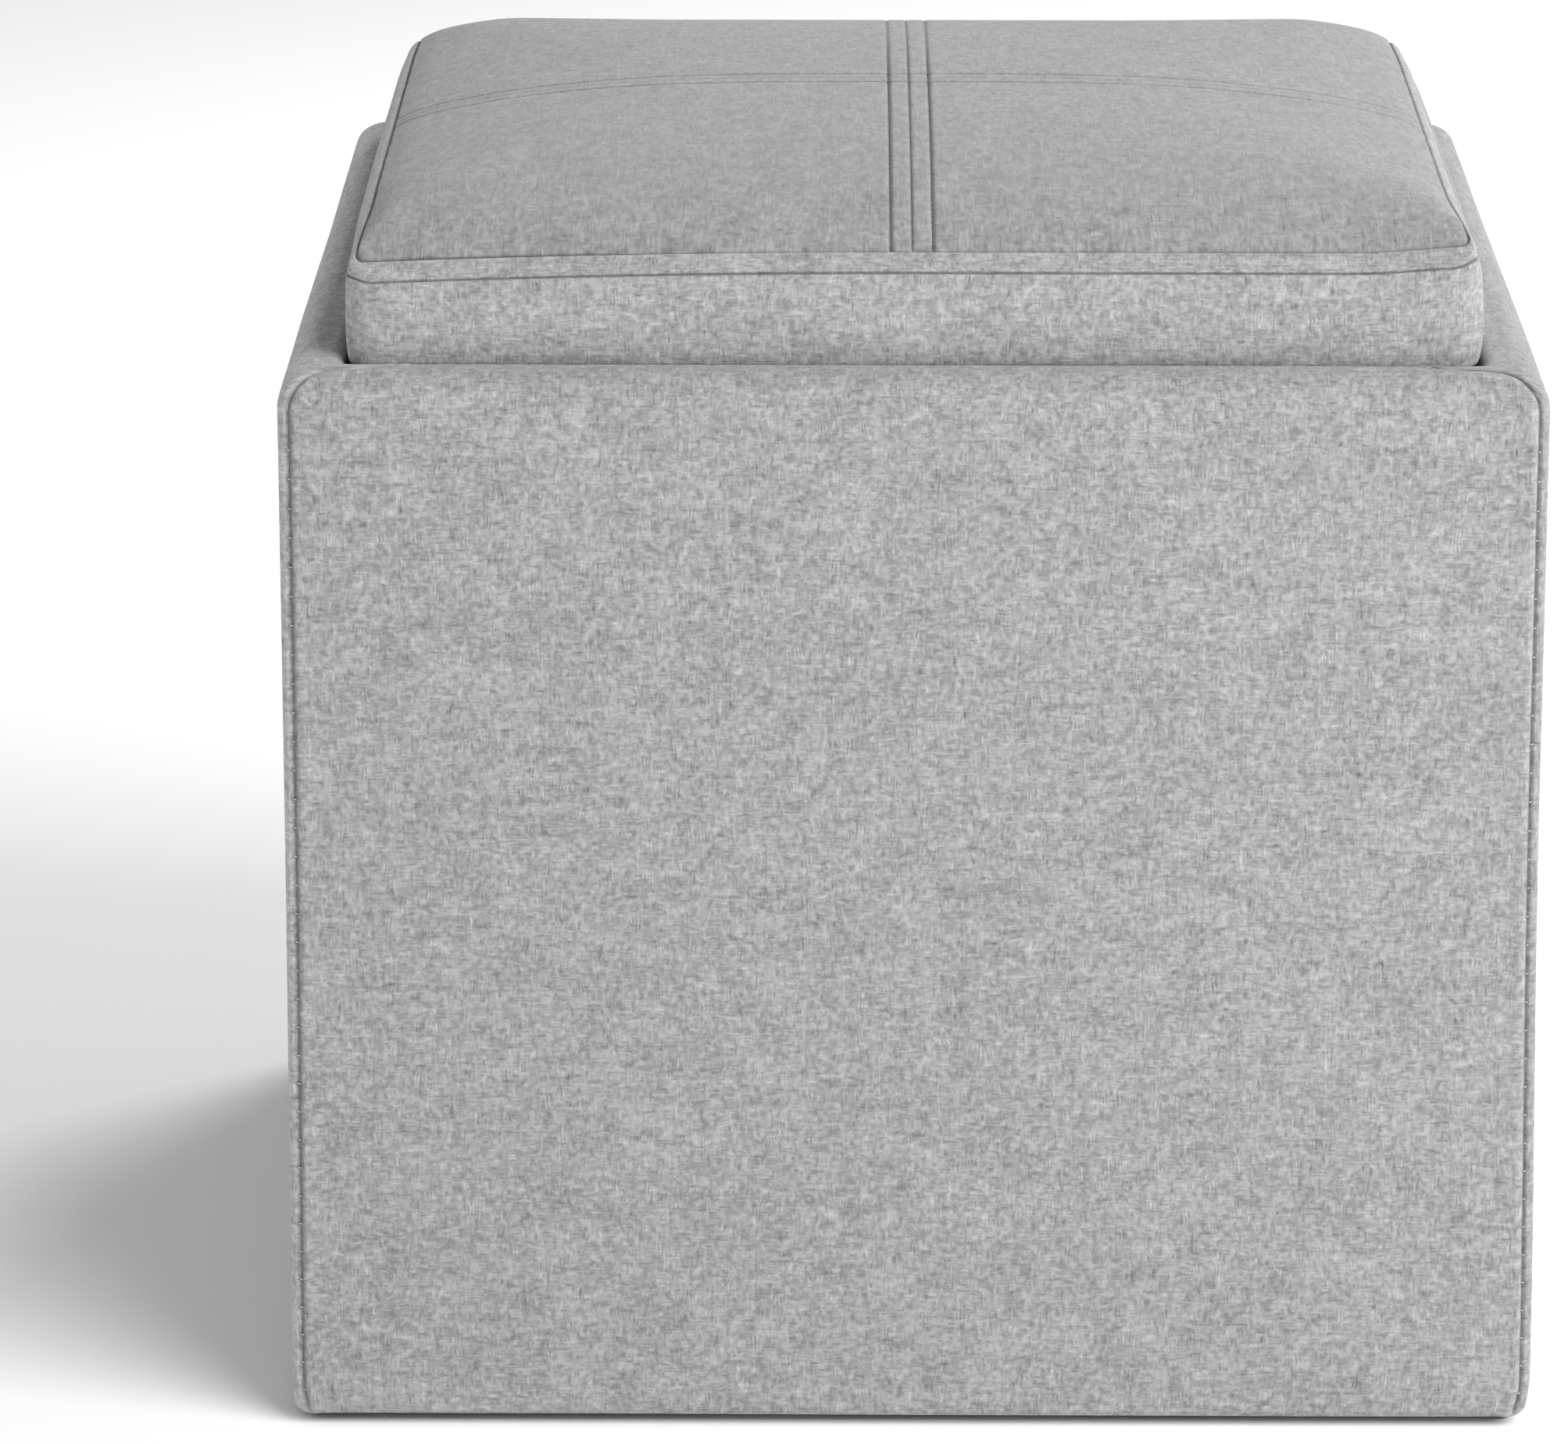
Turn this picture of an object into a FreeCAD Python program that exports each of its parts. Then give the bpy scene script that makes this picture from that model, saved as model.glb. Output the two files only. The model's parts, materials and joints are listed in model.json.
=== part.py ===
import FreeCAD, Part
import Sketcher
import math
import os
import re

# Upholstered storage cube with a padded lid that sits inside the rim.
# Origin: middle of the footprint on the floor.  +Z is up and the front faces -Y.

document = FreeCAD.newDocument("StorageOttoman")

# name, millimetres (or a bare ratio or count), what it is
SIZES = [
    ("box_width", "432", "outside, over the fabric"),
    ("box_depth", "432", "outside, over the fabric"),
    ("rim_height", "377", "floor to the top of the rim"),
    ("glide_height", "5", "gap under the box"),
    ("cover_thick", "1.2", "upholstery fabric"),
    ("padding_thick", "4", "foam sheet on the walls and rim"),
    ("board_thick", "15", "wall board"),
    ("edge_round", "6.5", "upright outer corners"),
    ("rim_round", "11", "outer edge of the rim"),
    ("rim_inner_round", "4", "inner edge of the rim"),
    ("hem_round", "5", "bottom outer edge"),
    ("hem_width", "30", "fabric turned under the walls"),
    ("seam_from_side", "3", "front seam in from the side"),
    ("rim_seam_depth", "15", "front seam back from the front, on the rim"),
    ("seam_corner_round", "14", "front panel's top corners"),
    ("hem_corner_round", "7", "front panel's bottom corners"),
    ("rabbet_depth", "5", "side walls let into front and back"),
    ("lid_seat_depth", "20", "lid rests below the rim"),
    ("rest_width", "14", "lid rest, across"),
    ("rest_height", "22", "lid rest, upright"),
    ("rest_bevel", "6", "lower inner edge of the lid rest"),
    ("rail_width", "18", "floor rail, across"),
    ("rail_height", "20", "floor rail, upright"),
    ("block_leg", "46", "corner block's legs"),
    ("floor_thick", "9", "floor panel"),
    ("floor_fit", "0.5", "gap round the floor panel"),
    ("lining_thick", "0.8", "lining cloth on the walls"),
    ("floor_lining_thick", "2.5", "lined card on the floor"),
    ("dust_cover_thick", "0.6", "cloth under the box"),
    ("dust_cover_margin", "12", "dust cover in from the outside"),
    ("glide_diameter", "24", "plastic glide"),
    ("nail_shank", "2.4", "glide nail"),
    ("nail_head", "7", "glide nail's head"),
    ("nail_length", "18", "glide nail"),
    ("nail_cover", "1.5", "plastic under the nail's head"),
    ("screw_shank", "3.5", "wood screw"),
    ("screw_head", "7", "wood screw's head"),
    ("wall_screw_length", "36", "through the wall board"),
    ("rest_screw_length", "24", "through a lid rest or floor rail"),
    ("screw_edge", "45", "first screw in from an end"),
    ("staple_crown", "10", "staple's width"),
    ("staple_leg", "8", "staple's leg"),
    ("staple_wire", "0.9", "staple's wire"),
    ("staple_edge", "70", "first staple in from a corner"),
    ("lid_gap", "3", "between the lid's side and the rim, below the rim's top"),
    ("lid_bulge", "6", "the boxing swells out above the rim"),
    ("lid_seam_pull", "2.4", "the top seam sits in from the swell"),
    ("lid_seam_rise", "33", "top seam above the rim"),
    ("lid_crown", "28", "middle of the lid above its top seam"),
    ("crown_radius", "2500", "the crown's flat middle arc"),
    ("shoulder_radius", "200", "the crown's arc down to its side seams"),
    ("corner_shoulder_radius", "400", "the crown's arc down to its corners"),
    ("lid_corner_round", "17", "corners of the lid's foot, seen from above"),
    ("lid_board_thick", "12", "lid board"),
    ("lid_foam_drop", "9", "flat foam below the top seam"),
    ("lid_hem_width", "26", "boxing turned under the lid board"),
    ("underlay_margin", "14", "underlay in from the lid's side"),
    ("underlay_thick", "0.6", "cloth under the lid"),
]
sheet = document.addObject("Spreadsheet::Sheet", "Sizes")
for row, (alias, value, note) in enumerate(SIZES, start=1):
    sheet.set("A%d" % row, alias)
    sheet.set("B%d" % row, value)
    sheet.set("C%d" % row, note)
    sheet.setAlias("B%d" % row, alias)
document.recompute()
ALIASES = {alias for alias, value, note in SIZES}

# Levels and offsets that several pieces share, as sheet expressions
HALF_WIDTH = "box_width / 2"
HALF_DEPTH = "box_depth / 2"
BOARD_INSET = "(cover_thick + padding_thick)"
WALL_INSET = "(cover_thick + padding_thick + board_thick)"
CLEAR_INSET = "(2 * cover_thick + padding_thick + board_thick)"
HEM_LEVEL = "(glide_height + dust_cover_thick)"
BOARD_BOTTOM = "(glide_height + dust_cover_thick + cover_thick)"
BOARD_TOP = "(rim_height - cover_thick - padding_thick)"
REST_TOP = "(rim_height - lid_seat_depth)"
FLOOR_BOTTOM = f"({BOARD_BOTTOM} + rail_height)"
STORE_BOTTOM = f"({FLOOR_BOTTOM} + floor_thick)"
GLIDE_INSET = "(hem_width + glide_diameter / 2)"
LID_INSET = f"({CLEAR_INSET} + lid_gap)"
LID_SEAM = "(rim_height + lid_seam_rise)"

nodes = []


def sized(expression):
    """Write the sheet's name before each size in an expression."""
    def full_name(match):
        word = match.group(0)
        return "Sizes." + word if word in ALIASES else word
    return re.sub(r"[a-z][a-z_]*", full_name, expression)


def value_of(expression):
    return float(sheet.evalExpression(sized(expression)))


def bind(item, **expressions):
    for name, expression in expressions.items():
        item.setExpression(name, sized(str(expression)))


def place(item, x="0", y="0", z="0"):
    for axis, expression in (("x", x), ("y", y), ("z", z)):
        item.setExpression(".Placement.Base." + axis, sized(str(expression)))


def make_node(item, label):
    item.Label = label
    nodes.append(item)
    return item


def box(name, low, high):
    """A box between two corners, each three sheet expressions."""
    item = document.addObject("Part::Box", name)
    spans = [f"({top}) - ({bottom})" for bottom, top in zip(low, high)]
    bind(item, Length=spans[0], Width=spans[1], Height=spans[2])
    place(item, *low)
    return item


def cut(name, base, tool):
    item = document.addObject("Part::Cut", name)
    item.Base = base
    item.Tool = tool
    return item


def common(name, base, tool):
    item = document.addObject("Part::Common", name)
    item.Base = base
    item.Tool = tool
    return item


def fuse(name, shapes):
    item = document.addObject("Part::MultiFuse", name)
    item.Shapes = shapes
    return item


def round_edges(name, base, radius_of):
    """Fillet each edge for which radius_of(edge) gives a radius."""
    document.recompute()
    edges = []
    for number, edge in enumerate(base.Shape.Edges, start=1):
        radius = radius_of(edge)
        if radius:
            edges.append((number, radius, radius))
    item = document.addObject("Part::Fillet", name)
    item.Base = base
    item.Edges = edges
    return item


def runs_along(edge, axis):
    start = edge.Vertexes[0].Point
    end = edge.Vertexes[-1].Point
    return abs(abs((end - start).normalize().dot(axis)) - 1) < 1e-6


def at_height(edge, height):
    return all(abs(vertex.Z - height) < 1e-4 for vertex in edge.Vertexes)


X_AXIS = FreeCAD.Vector(1, 0, 0)
Y_AXIS = FreeCAD.Vector(0, 1, 0)
Z_AXIS = FreeCAD.Vector(0, 0, 1)


# The box's shape at three depths: outside of the fabric, of the foam and of the boards.
# Each is what three rounded blocks share: one rounded in plan and one along each side.
def box_form(name, inset, bottom):
    block = box(
        name + "_block",
        (f"-{HALF_WIDTH} + {inset}", f"-{HALF_DEPTH} + {inset}", bottom),
        (f"{HALF_WIDTH} - {inset}", f"{HALF_DEPTH} - {inset}", f"rim_height - {inset}"),
    )
    low = value_of(bottom)
    upright_radius = max(value_of(f"edge_round - {inset}"), 0)
    rim_radius = value_of(f"rim_round - {inset}")
    hem_radius = max(value_of(f"hem_round - {inset}"), 0)

    def side_radius(edge, axis):
        if not runs_along(edge, axis):
            return 0
        return hem_radius if at_height(edge, low) else rim_radius

    rounded = [
        round_edges(name + "_plan", block, lambda edge: upright_radius if runs_along(edge, Z_AXIS) else 0),
        round_edges(name + "_across", block, lambda edge: side_radius(edge, X_AXIS)),
        round_edges(name + "_along", block, lambda edge: side_radius(edge, Y_AXIS)),
    ]
    item = document.addObject("Part::MultiCommon", name)
    item.Shapes = rounded
    return item


def open_form(name, form, opening_inset, top, round_size):
    """Cut the lid's opening down to the lid rests and round its upper edge."""
    opening = box(
        name + "_opening",
        (f"-{HALF_WIDTH} + {opening_inset}", f"-{HALF_DEPTH} + {opening_inset}", REST_TOP),
        (f"{HALF_WIDTH} - {opening_inset}", f"{HALF_DEPTH} - {opening_inset}", "rim_height + rim_round"),
    )
    opened = cut(name + "_opened", form, opening)
    half_x = value_of(f"{HALF_WIDTH} - {opening_inset}")
    half_y = value_of(f"{HALF_DEPTH} - {opening_inset}")
    height = value_of(top)
    radius = value_of(round_size)

    def radius_of(edge):
        middle = edge.BoundBox.Center
        inside = abs(middle.x) < half_x + 0.01 and abs(middle.y) < half_y + 0.01
        return radius if inside and at_height(edge, height) else 0
    return round_edges(name, opened, radius_of)


cover_block = box_form("cover_form", "0", HEM_LEVEL)
core_block = box_form("core_form", "cover_thick", BOARD_BOTTOM)
board_form = box_form("board_form", BOARD_INSET, BOARD_BOTTOM)
cover_form = open_form("cover_open", cover_block, CLEAR_INSET, "rim_height", "rim_inner_round")
core_form = open_form(
    "core_open", core_block, WALL_INSET, "rim_height - cover_thick", "rim_inner_round - cover_thick")


# Wall boards: front and back run the full width, with a rabbet at each end for the sides
def long_wall(label, side):
    front = f"-{HALF_DEPTH} + {BOARD_INSET}"
    back = f"-{HALF_DEPTH} + {WALL_INSET}"
    blank = box(
        label + "_blank",
        (f"-{HALF_WIDTH} + {BOARD_INSET}", front, BOARD_BOTTOM),
        (f"{HALF_WIDTH} - {BOARD_INSET}", back, BOARD_TOP),
    )
    rabbets = []
    for end in (-1, 1):
        outer = f"{end} * ({HALF_WIDTH} - {BOARD_INSET})"
        inner = f"{end} * ({HALF_WIDTH} - {WALL_INSET})"
        low, high = (outer, inner) if end < 0 else (inner, outer)
        rabbets.append(box(
            f"{label}_rabbet_{'left' if end < 0 else 'right'}",
            (low, f"{back} - rabbet_depth", BOARD_BOTTOM),
            (high, back, BOARD_TOP),
        ))
    shaped = cut(label + "_rabbeted", blank, fuse(label + "_rabbets", rabbets))
    if side < 0:
        return make_node(common(label, board_form, shaped), label)
    turned = document.addObject("Part::Mirroring", label + "_turned")
    turned.Source = shaped
    turned.Normal = Y_AXIS
    return make_node(common(label, board_form, turned), label)


def side_wall(label, side):
    outer = f"{side} * ({HALF_WIDTH} - {BOARD_INSET})"
    inner = f"{side} * ({HALF_WIDTH} - {WALL_INSET})"
    low, high = (outer, inner) if side < 0 else (inner, outer)
    reach = f"({HALF_DEPTH} - {WALL_INSET} + rabbet_depth)"
    blank = box(label + "_blank", (low, f"-{reach}", BOARD_BOTTOM), (high, reach, BOARD_TOP))
    return make_node(common(label, board_form, blank), label)


long_wall("wall_front", -1)
long_wall("wall_back", 1)
side_wall("wall_left", -1)
side_wall("wall_right", 1)


# Foam sheets: everything between the fabric and the boards, outside and over the rim
foam_shell = cut("padding_shell", core_form, board_form)


def padding_region(name, side, along_x):
    far_x = HALF_WIDTH
    far_y = HALF_DEPTH
    if along_x:
        near, far = f"{HALF_DEPTH} - {WALL_INSET}", far_y
        span = (f"-{far}", f"-({near})") if side < 0 else (near, far)
        return box(name, (f"-{far_x}", span[0], "0"), (far_x, span[1], "rim_height"))
    near, far = f"{HALF_WIDTH} - {WALL_INSET}", far_x
    reach = f"({HALF_DEPTH} - {WALL_INSET})"
    span = (f"-{far}", f"-({near})") if side < 0 else (near, far)
    return box(name, (span[0], f"-{reach}", "0"), (span[1], reach, "rim_height"))


for word, side, along_x in (
        ("front", -1, True), ("back", 1, True), ("left", -1, False), ("right", 1, False)):
    region = padding_region(f"padding_{word}_region", side, along_x)
    make_node(common(f"padding_{word}", foam_shell, region), f"padding_{word}")


# Fabric covers: front and back panels keep to their own face and the edge of the rim,
# and the side panels take the upright corners
cover_skin = cut("cover_skin", cover_form, core_form)
hem_opening = box(
    "hem_opening",
    (f"-{HALF_WIDTH} + hem_width", f"-{HALF_DEPTH} + hem_width", "0"),
    (f"{HALF_WIDTH} - hem_width", f"{HALF_DEPTH} - hem_width", STORE_BOTTOM),
)
cover_shell = cut("cover_shell", cover_skin, hem_opening)

PANEL_TOP = "rim_height + seam_corner_round / 7"
PANEL_BOTTOM = f"{HEM_LEVEL} - hem_corner_round / 3"
front_face = box(
    "front_seam_block",
    (f"-{HALF_WIDTH} + seam_from_side", f"-{HALF_DEPTH} - cover_thick", PANEL_BOTTOM),
    (f"{HALF_WIDTH} - seam_from_side", f"-{HALF_DEPTH} + rim_seam_depth", PANEL_TOP),
)
panel_top = value_of(PANEL_TOP)
panel_top_radius = value_of("seam_corner_round")
panel_bottom_radius = value_of("hem_corner_round")


def panel_corner(edge):
    if not runs_along(edge, Y_AXIS):
        return 0
    return panel_top_radius if at_height(edge, panel_top) else panel_bottom_radius


front_outline = round_edges("front_seam_outline", front_face, panel_corner)
front_lip = box(
    "front_lip_block",
    (f"-{HALF_WIDTH} + {WALL_INSET}", f"-{HALF_DEPTH} + rim_seam_depth / 2", STORE_BOTTOM),
    (f"{HALF_WIDTH} - {WALL_INSET}", f"-{HALF_DEPTH} + {CLEAR_INSET}", "rim_height + rim_round"),
)
front_hem = box(
    "front_hem_block",
    (f"-{HALF_WIDTH} + hem_width", f"-{HALF_DEPTH} + rim_seam_depth / 2", "0"),
    (f"{HALF_WIDTH} - hem_width", f"-{HALF_DEPTH} + hem_width", STORE_BOTTOM),
)
front_region = fuse("front_region", [front_outline, front_lip, front_hem])
back_region = document.addObject("Part::Mirroring", "back_region")
back_region.Source = front_region
back_region.Normal = Y_AXIS
make_node(common("cover_front", cover_shell, front_region), "cover_front")
make_node(common("cover_back", cover_shell, back_region), "cover_back")
side_shell = cut("cover_sides", cover_shell, fuse("end_regions", [front_region, back_region]))
for word, low, high in (("left", f"-{HALF_WIDTH} - 1", "0"), ("right", "0", f"{HALF_WIDTH} + 1")):
    half = box(
        f"cover_{word}_half",
        (low, f"-{HALF_DEPTH} - 1", "0"),
        (high, f"{HALF_DEPTH} + 1", "rim_height + rim_round"),
    )
    make_node(common(f"cover_{word}", side_shell, half), f"cover_{word}")


# Battens and rails round the inside, drawn as a section and padded to length
def origin_plane(body, role):
    for feature in body.Origin.OriginFeatures:
        if feature.Role == role:
            return feature
    raise ValueError(role)


def polygon_sketch(body, name, role, corners):
    """A closed outline whose corners are pairs of sheet expressions."""
    sketch = body.newObject("Sketcher::SketchObject", name)
    sketch.AttachmentSupport = [(origin_plane(body, role), "")]
    sketch.MapMode = "FlatFace"
    points = [FreeCAD.Vector(value_of(u), value_of(v), 0) for u, v in corners]
    for start, end in zip(points, points[1:] + points[:1]):
        sketch.addGeometry(Part.LineSegment(start, end), False)
    count = len(points)
    for number in range(count):
        sketch.addConstraint(Sketcher.Constraint("Coincident", number, 2, (number + 1) % count, 1))
    for number, (u, v) in enumerate(corners):
        for kind, expression, zero_axis in (("DistanceX", u, -2), ("DistanceY", v, -1)):
            if expression == "0":
                sketch.addConstraint(Sketcher.Constraint("PointOnObject", number, 1, zero_axis))
                continue
            index = sketch.addConstraint(
                Sketcher.Constraint(kind, -1, 1, number, 1, value_of(expression)))
            sketch.setExpression(f"Constraints[{index}]", sized(expression))
    return sketch


def padded_section(label, role, corners, length):
    """A section padded by the same amount each side of its plane."""
    body = document.addObject("PartDesign::Body", label)
    sketch = polygon_sketch(body, label + "_section", role, corners)
    pad = body.newObject("PartDesign::Pad", label + "_pad")
    pad.Profile = sketch
    pad.SideType = "Symmetric"
    bind(pad, Length=length)
    return body


def lid_rest(label, side, along_x):
    half = HALF_DEPTH if along_x else HALF_WIDTH
    wall = f"{side} * ({half} - {WALL_INSET})"
    inner = f"{side} * ({half} - {WALL_INSET} - rest_width)"
    bevelled = f"{side} * ({half} - {WALL_INSET} - rest_width + rest_bevel)"
    low = f"{REST_TOP} - rest_height"
    corners = [
        (wall, REST_TOP), (inner, REST_TOP), (inner, f"{low} + rest_bevel"), (bevelled, low), (wall, low)]
    if along_x:
        length = f"box_width - 2 * {WALL_INSET}"
        return make_node(padded_section(label, "YZ_Plane", corners, length), label)
    length = f"box_depth - 2 * {WALL_INSET} - 2 * rest_width"
    return make_node(padded_section(label, "XZ_Plane", corners, length), label)


def floor_rail(label, side, along_x):
    half = HALF_DEPTH if along_x else HALF_WIDTH
    wall = f"{side} * ({half} - {WALL_INSET})"
    inner = f"{side} * ({half} - {WALL_INSET} - rail_width)"
    corners = [(wall, BOARD_BOTTOM), (inner, BOARD_BOTTOM), (inner, FLOOR_BOTTOM), (wall, FLOOR_BOTTOM)]
    if along_x:
        length = f"box_width - 2 * {WALL_INSET}"
        return make_node(padded_section(label, "YZ_Plane", corners, length), label)
    length = f"box_depth - 2 * {WALL_INSET} - 2 * rail_width"
    return make_node(padded_section(label, "XZ_Plane", corners, length), label)


for word, side, along_x in (
        ("front", -1, True), ("back", 1, True), ("left", -1, False), ("right", 1, False)):
    lid_rest(f"lid_rest_{word}", side, along_x)
    floor_rail(f"floor_rail_{word}", side, along_x)


# Corner blocks: three-sided, in the corners of the rails, for the glides' nails
def corner_block(label, x_side, y_side):
    body = document.addObject("PartDesign::Body", label)
    x_rail = f"{x_side} * ({HALF_WIDTH} - {WALL_INSET} - rail_width)"
    y_rail = f"{y_side} * ({HALF_DEPTH} - {WALL_INSET} - rail_width)"
    corners = [
        (x_rail, y_rail),
        (f"{x_side} * ({HALF_WIDTH} - {WALL_INSET} - rail_width - block_leg)", y_rail),
        (x_rail, f"{y_side} * ({HALF_DEPTH} - {WALL_INSET} - rail_width - block_leg)"),
    ]
    sketch = polygon_sketch(body, label + "_outline", "XY_Plane", corners)
    pad = body.newObject("PartDesign::Pad", label + "_pad")
    pad.Profile = sketch
    bind(pad, Length="rail_height")
    place(body, z=BOARD_BOTTOM)
    return make_node(body, label)


# Glides: a plastic disc, moulded round the head of its nail
def glide(label, x_side, y_side):
    disc = document.addObject("Part::Cylinder", label)
    bind(disc, Radius="glide_diameter / 2", Height="glide_height")
    place(
        disc,
        f"{x_side} * ({HALF_WIDTH} - {GLIDE_INSET})",
        f"{y_side} * ({HALF_DEPTH} - {GLIDE_INSET})",
    )
    return make_node(disc, label)


CORNERS = [
    ("front_left", -1, -1), ("front_right", 1, -1), ("back_left", -1, 1), ("back_right", 1, 1)]
for word, x_side, y_side in CORNERS:
    corner_block(f"corner_block_{word}", x_side, y_side)
    glide(f"glide_{word}", x_side, y_side)


# Floor panel, linings and dust cover
def inside_box(label, inset, low, high):
    return make_node(box(
        label,
        (f"-{HALF_WIDTH} + {inset}", f"-{HALF_DEPTH} + {inset}", low),
        (f"{HALF_WIDTH} - {inset}", f"{HALF_DEPTH} - {inset}", high),
    ), label)


inside_box("floor_panel", f"({WALL_INSET} + floor_fit)", FLOOR_BOTTOM, STORE_BOTTOM)
inside_box(
    "floor_lining", f"({WALL_INSET} + lining_thick)", STORE_BOTTOM, f"{STORE_BOTTOM} + floor_lining_thick")
inside_box("dust_cover", "dust_cover_margin", "glide_height", HEM_LEVEL)


def wall_lining(label, side, along_x):
    half = HALF_DEPTH if along_x else HALF_WIDTH
    wall = f"{side} * ({half} - {WALL_INSET})"
    face = f"{side} * ({half} - {WALL_INSET} - lining_thick)"
    across = (wall, face) if side < 0 else (face, wall)
    low, high = STORE_BOTTOM, f"{REST_TOP} - rest_height"
    if along_x:
        reach = f"({HALF_WIDTH} - {WALL_INSET})"
        sheet_box = box(label, (f"-{reach}", across[0], low), (reach, across[1], high))
    else:
        reach = f"({HALF_DEPTH} - {WALL_INSET} - lining_thick)"
        sheet_box = box(label, (across[0], f"-{reach}", low), (across[1], reach, high))
    return make_node(sheet_box, label)


for word, side, along_x in (
        ("front", -1, True), ("back", 1, True), ("left", -1, False), ("right", 1, False)):
    wall_lining(f"lining_{word}", side, along_x)


# Fasteners: every group is one node of separate solids, so their places come from loops
def group(label, solids):
    item = document.addObject("Part::Feature", label)
    item.Shape = Part.Compound(solids)
    return make_node(item, label)


FASTENER_SIDES = 8


def ring(radius, height):
    angles = [2 * math.pi * number / FASTENER_SIDES for number in range(FASTENER_SIDES)]
    return [FreeCAD.Vector(radius * math.cos(angle), radius * math.sin(angle), height) for angle in angles]


def flat_face(points):
    return Part.Face(Part.makePolygon(points + points[:1]))


def turned_pin(profile):
    """A pin along +Z through rings of (radius, height), with flat sides to keep it light."""
    rings = [ring(radius, height) for radius, height in profile]
    faces = [flat_face(rings[0]), flat_face(rings[-1])]
    for low, high in zip(rings, rings[1:]):
        for number in range(FASTENER_SIDES):
            after = (number + 1) % FASTENER_SIDES
            faces.append(flat_face([low[number], low[after], high[after], high[number]]))
    solid = Part.Solid(Part.Shell(faces))
    solid.fix(1e-4, 1e-4, 1e-4)
    return solid


def screw(length):
    """A countersunk wood screw pointing along +Z, with its head's face at the origin."""
    shank = value_of("screw_shank") / 2
    head = value_of("screw_head") / 2
    tip = shank / 5
    return turned_pin([(head, 0), (shank, head - shank), (shank, length - 2 * shank), (tip, length)])


def nail(length):
    """A clout nail pointing along +Z, with its head's face at the origin."""
    shank = value_of("nail_shank") / 2
    head = value_of("nail_head") / 2
    return turned_pin([(head, 0), (shank, head / 3), (shank, length - 2 * shank), (shank / 5, length)])


def staple():
    """A staple lying along X with its legs pointing along +Z."""
    reach = value_of("staple_crown") / 2
    wire = value_of("staple_wire")
    leg = value_of("staple_leg")
    outline = [
        (-reach, 0), (reach, 0), (reach, leg), (reach - wire, leg),
        (reach - wire, wire), (wire - reach, wire), (wire - reach, leg), (-reach, leg)]
    points = [FreeCAD.Vector(along, -wire / 2, height) for along, height in outline]
    return Part.Face(Part.makePolygon(points + points[:1])).extrude(FreeCAD.Vector(0, wire, 0))


def spread(first, last, count):
    return [first + (last - first) * number / (count - 1) for number in range(count)]


def put(shape, position, direction=Z_AXIS, turn=0):
    """A copy with its own Z along direction, turned about it by some degrees."""
    copy = shape.copy()
    lie = FreeCAD.Rotation(Z_AXIS, direction).multiply(FreeCAD.Rotation(Z_AXIS, turn))
    copy.Placement = FreeCAD.Placement(FreeCAD.Vector(*position), lie)
    return copy


half_x = value_of(HALF_WIDTH)
half_y = value_of(HALF_DEPTH)
board_face = value_of(BOARD_INSET)
wall_face = value_of(WALL_INSET)
board_middle = (board_face + wall_face) / 2
edge_gap = value_of("screw_edge")

wall_screw = screw(value_of("wall_screw_length"))
wall_screw_heights = spread(value_of(BOARD_BOTTOM) + edge_gap, value_of(REST_TOP) - edge_gap, 3)
group("wall_screws", [
    put(wall_screw, (x_side * (half_x - board_middle), y_side * (half_y - board_face), height),
        Y_AXIS * -y_side)
    for word, x_side, y_side in CORNERS for height in wall_screw_heights])

batten_screw = screw(value_of("rest_screw_length"))


def batten_screws(inset, height, count):
    """Screws from the store side out through battens into all four walls."""
    solids = []
    across_x = spread(edge_gap + wall_face - half_x, half_x - wall_face - edge_gap, count)
    across_y = spread(edge_gap + wall_face - half_y, half_y - wall_face - edge_gap, count)
    for side in (-1, 1):
        solids += [
            put(batten_screw, (x, side * (half_y - inset), height), Y_AXIS * side) for x in across_x]
        solids += [
            put(batten_screw, (side * (half_x - inset), y, height), X_AXIS * side) for y in across_y]
    return solids


group("lid_rest_screws", batten_screws(
    wall_face + value_of("rest_width"), value_of(f"{REST_TOP} - rest_height / 2 + rest_bevel / 2"), 3))
group("rail_screws", batten_screws(
    wall_face + value_of("rail_width"), value_of(f"{BOARD_BOTTOM} + rail_height / 2"), 2))

glide_nail = nail(value_of("nail_length"))
inset = value_of(GLIDE_INSET)
group("glide_nails", [
    put(glide_nail, (x_side * (half_x - inset), y_side * (half_y - inset), value_of("nail_cover")))
    for word, x_side, y_side in CORNERS])

one_staple = staple()


def staple_ring(reach_x, reach_y, height, count):
    """Staples along four sides, crown down on the hem and legs up into the board."""
    first = value_of("staple_edge")
    solids = []
    for side in (-1, 1):
        solids += [
            put(one_staple, (x, side * reach_y, height))
            for x in spread(first - half_x, half_x - first, count)]
        solids += [
            put(one_staple, (side * reach_x, y, height), turn=90)
            for y in spread(first - half_y, half_y - first, count)]
    return solids


group("hem_staples", staple_ring(
    half_x - board_middle, half_y - board_middle, value_of(HEM_LEVEL), 4))


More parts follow.
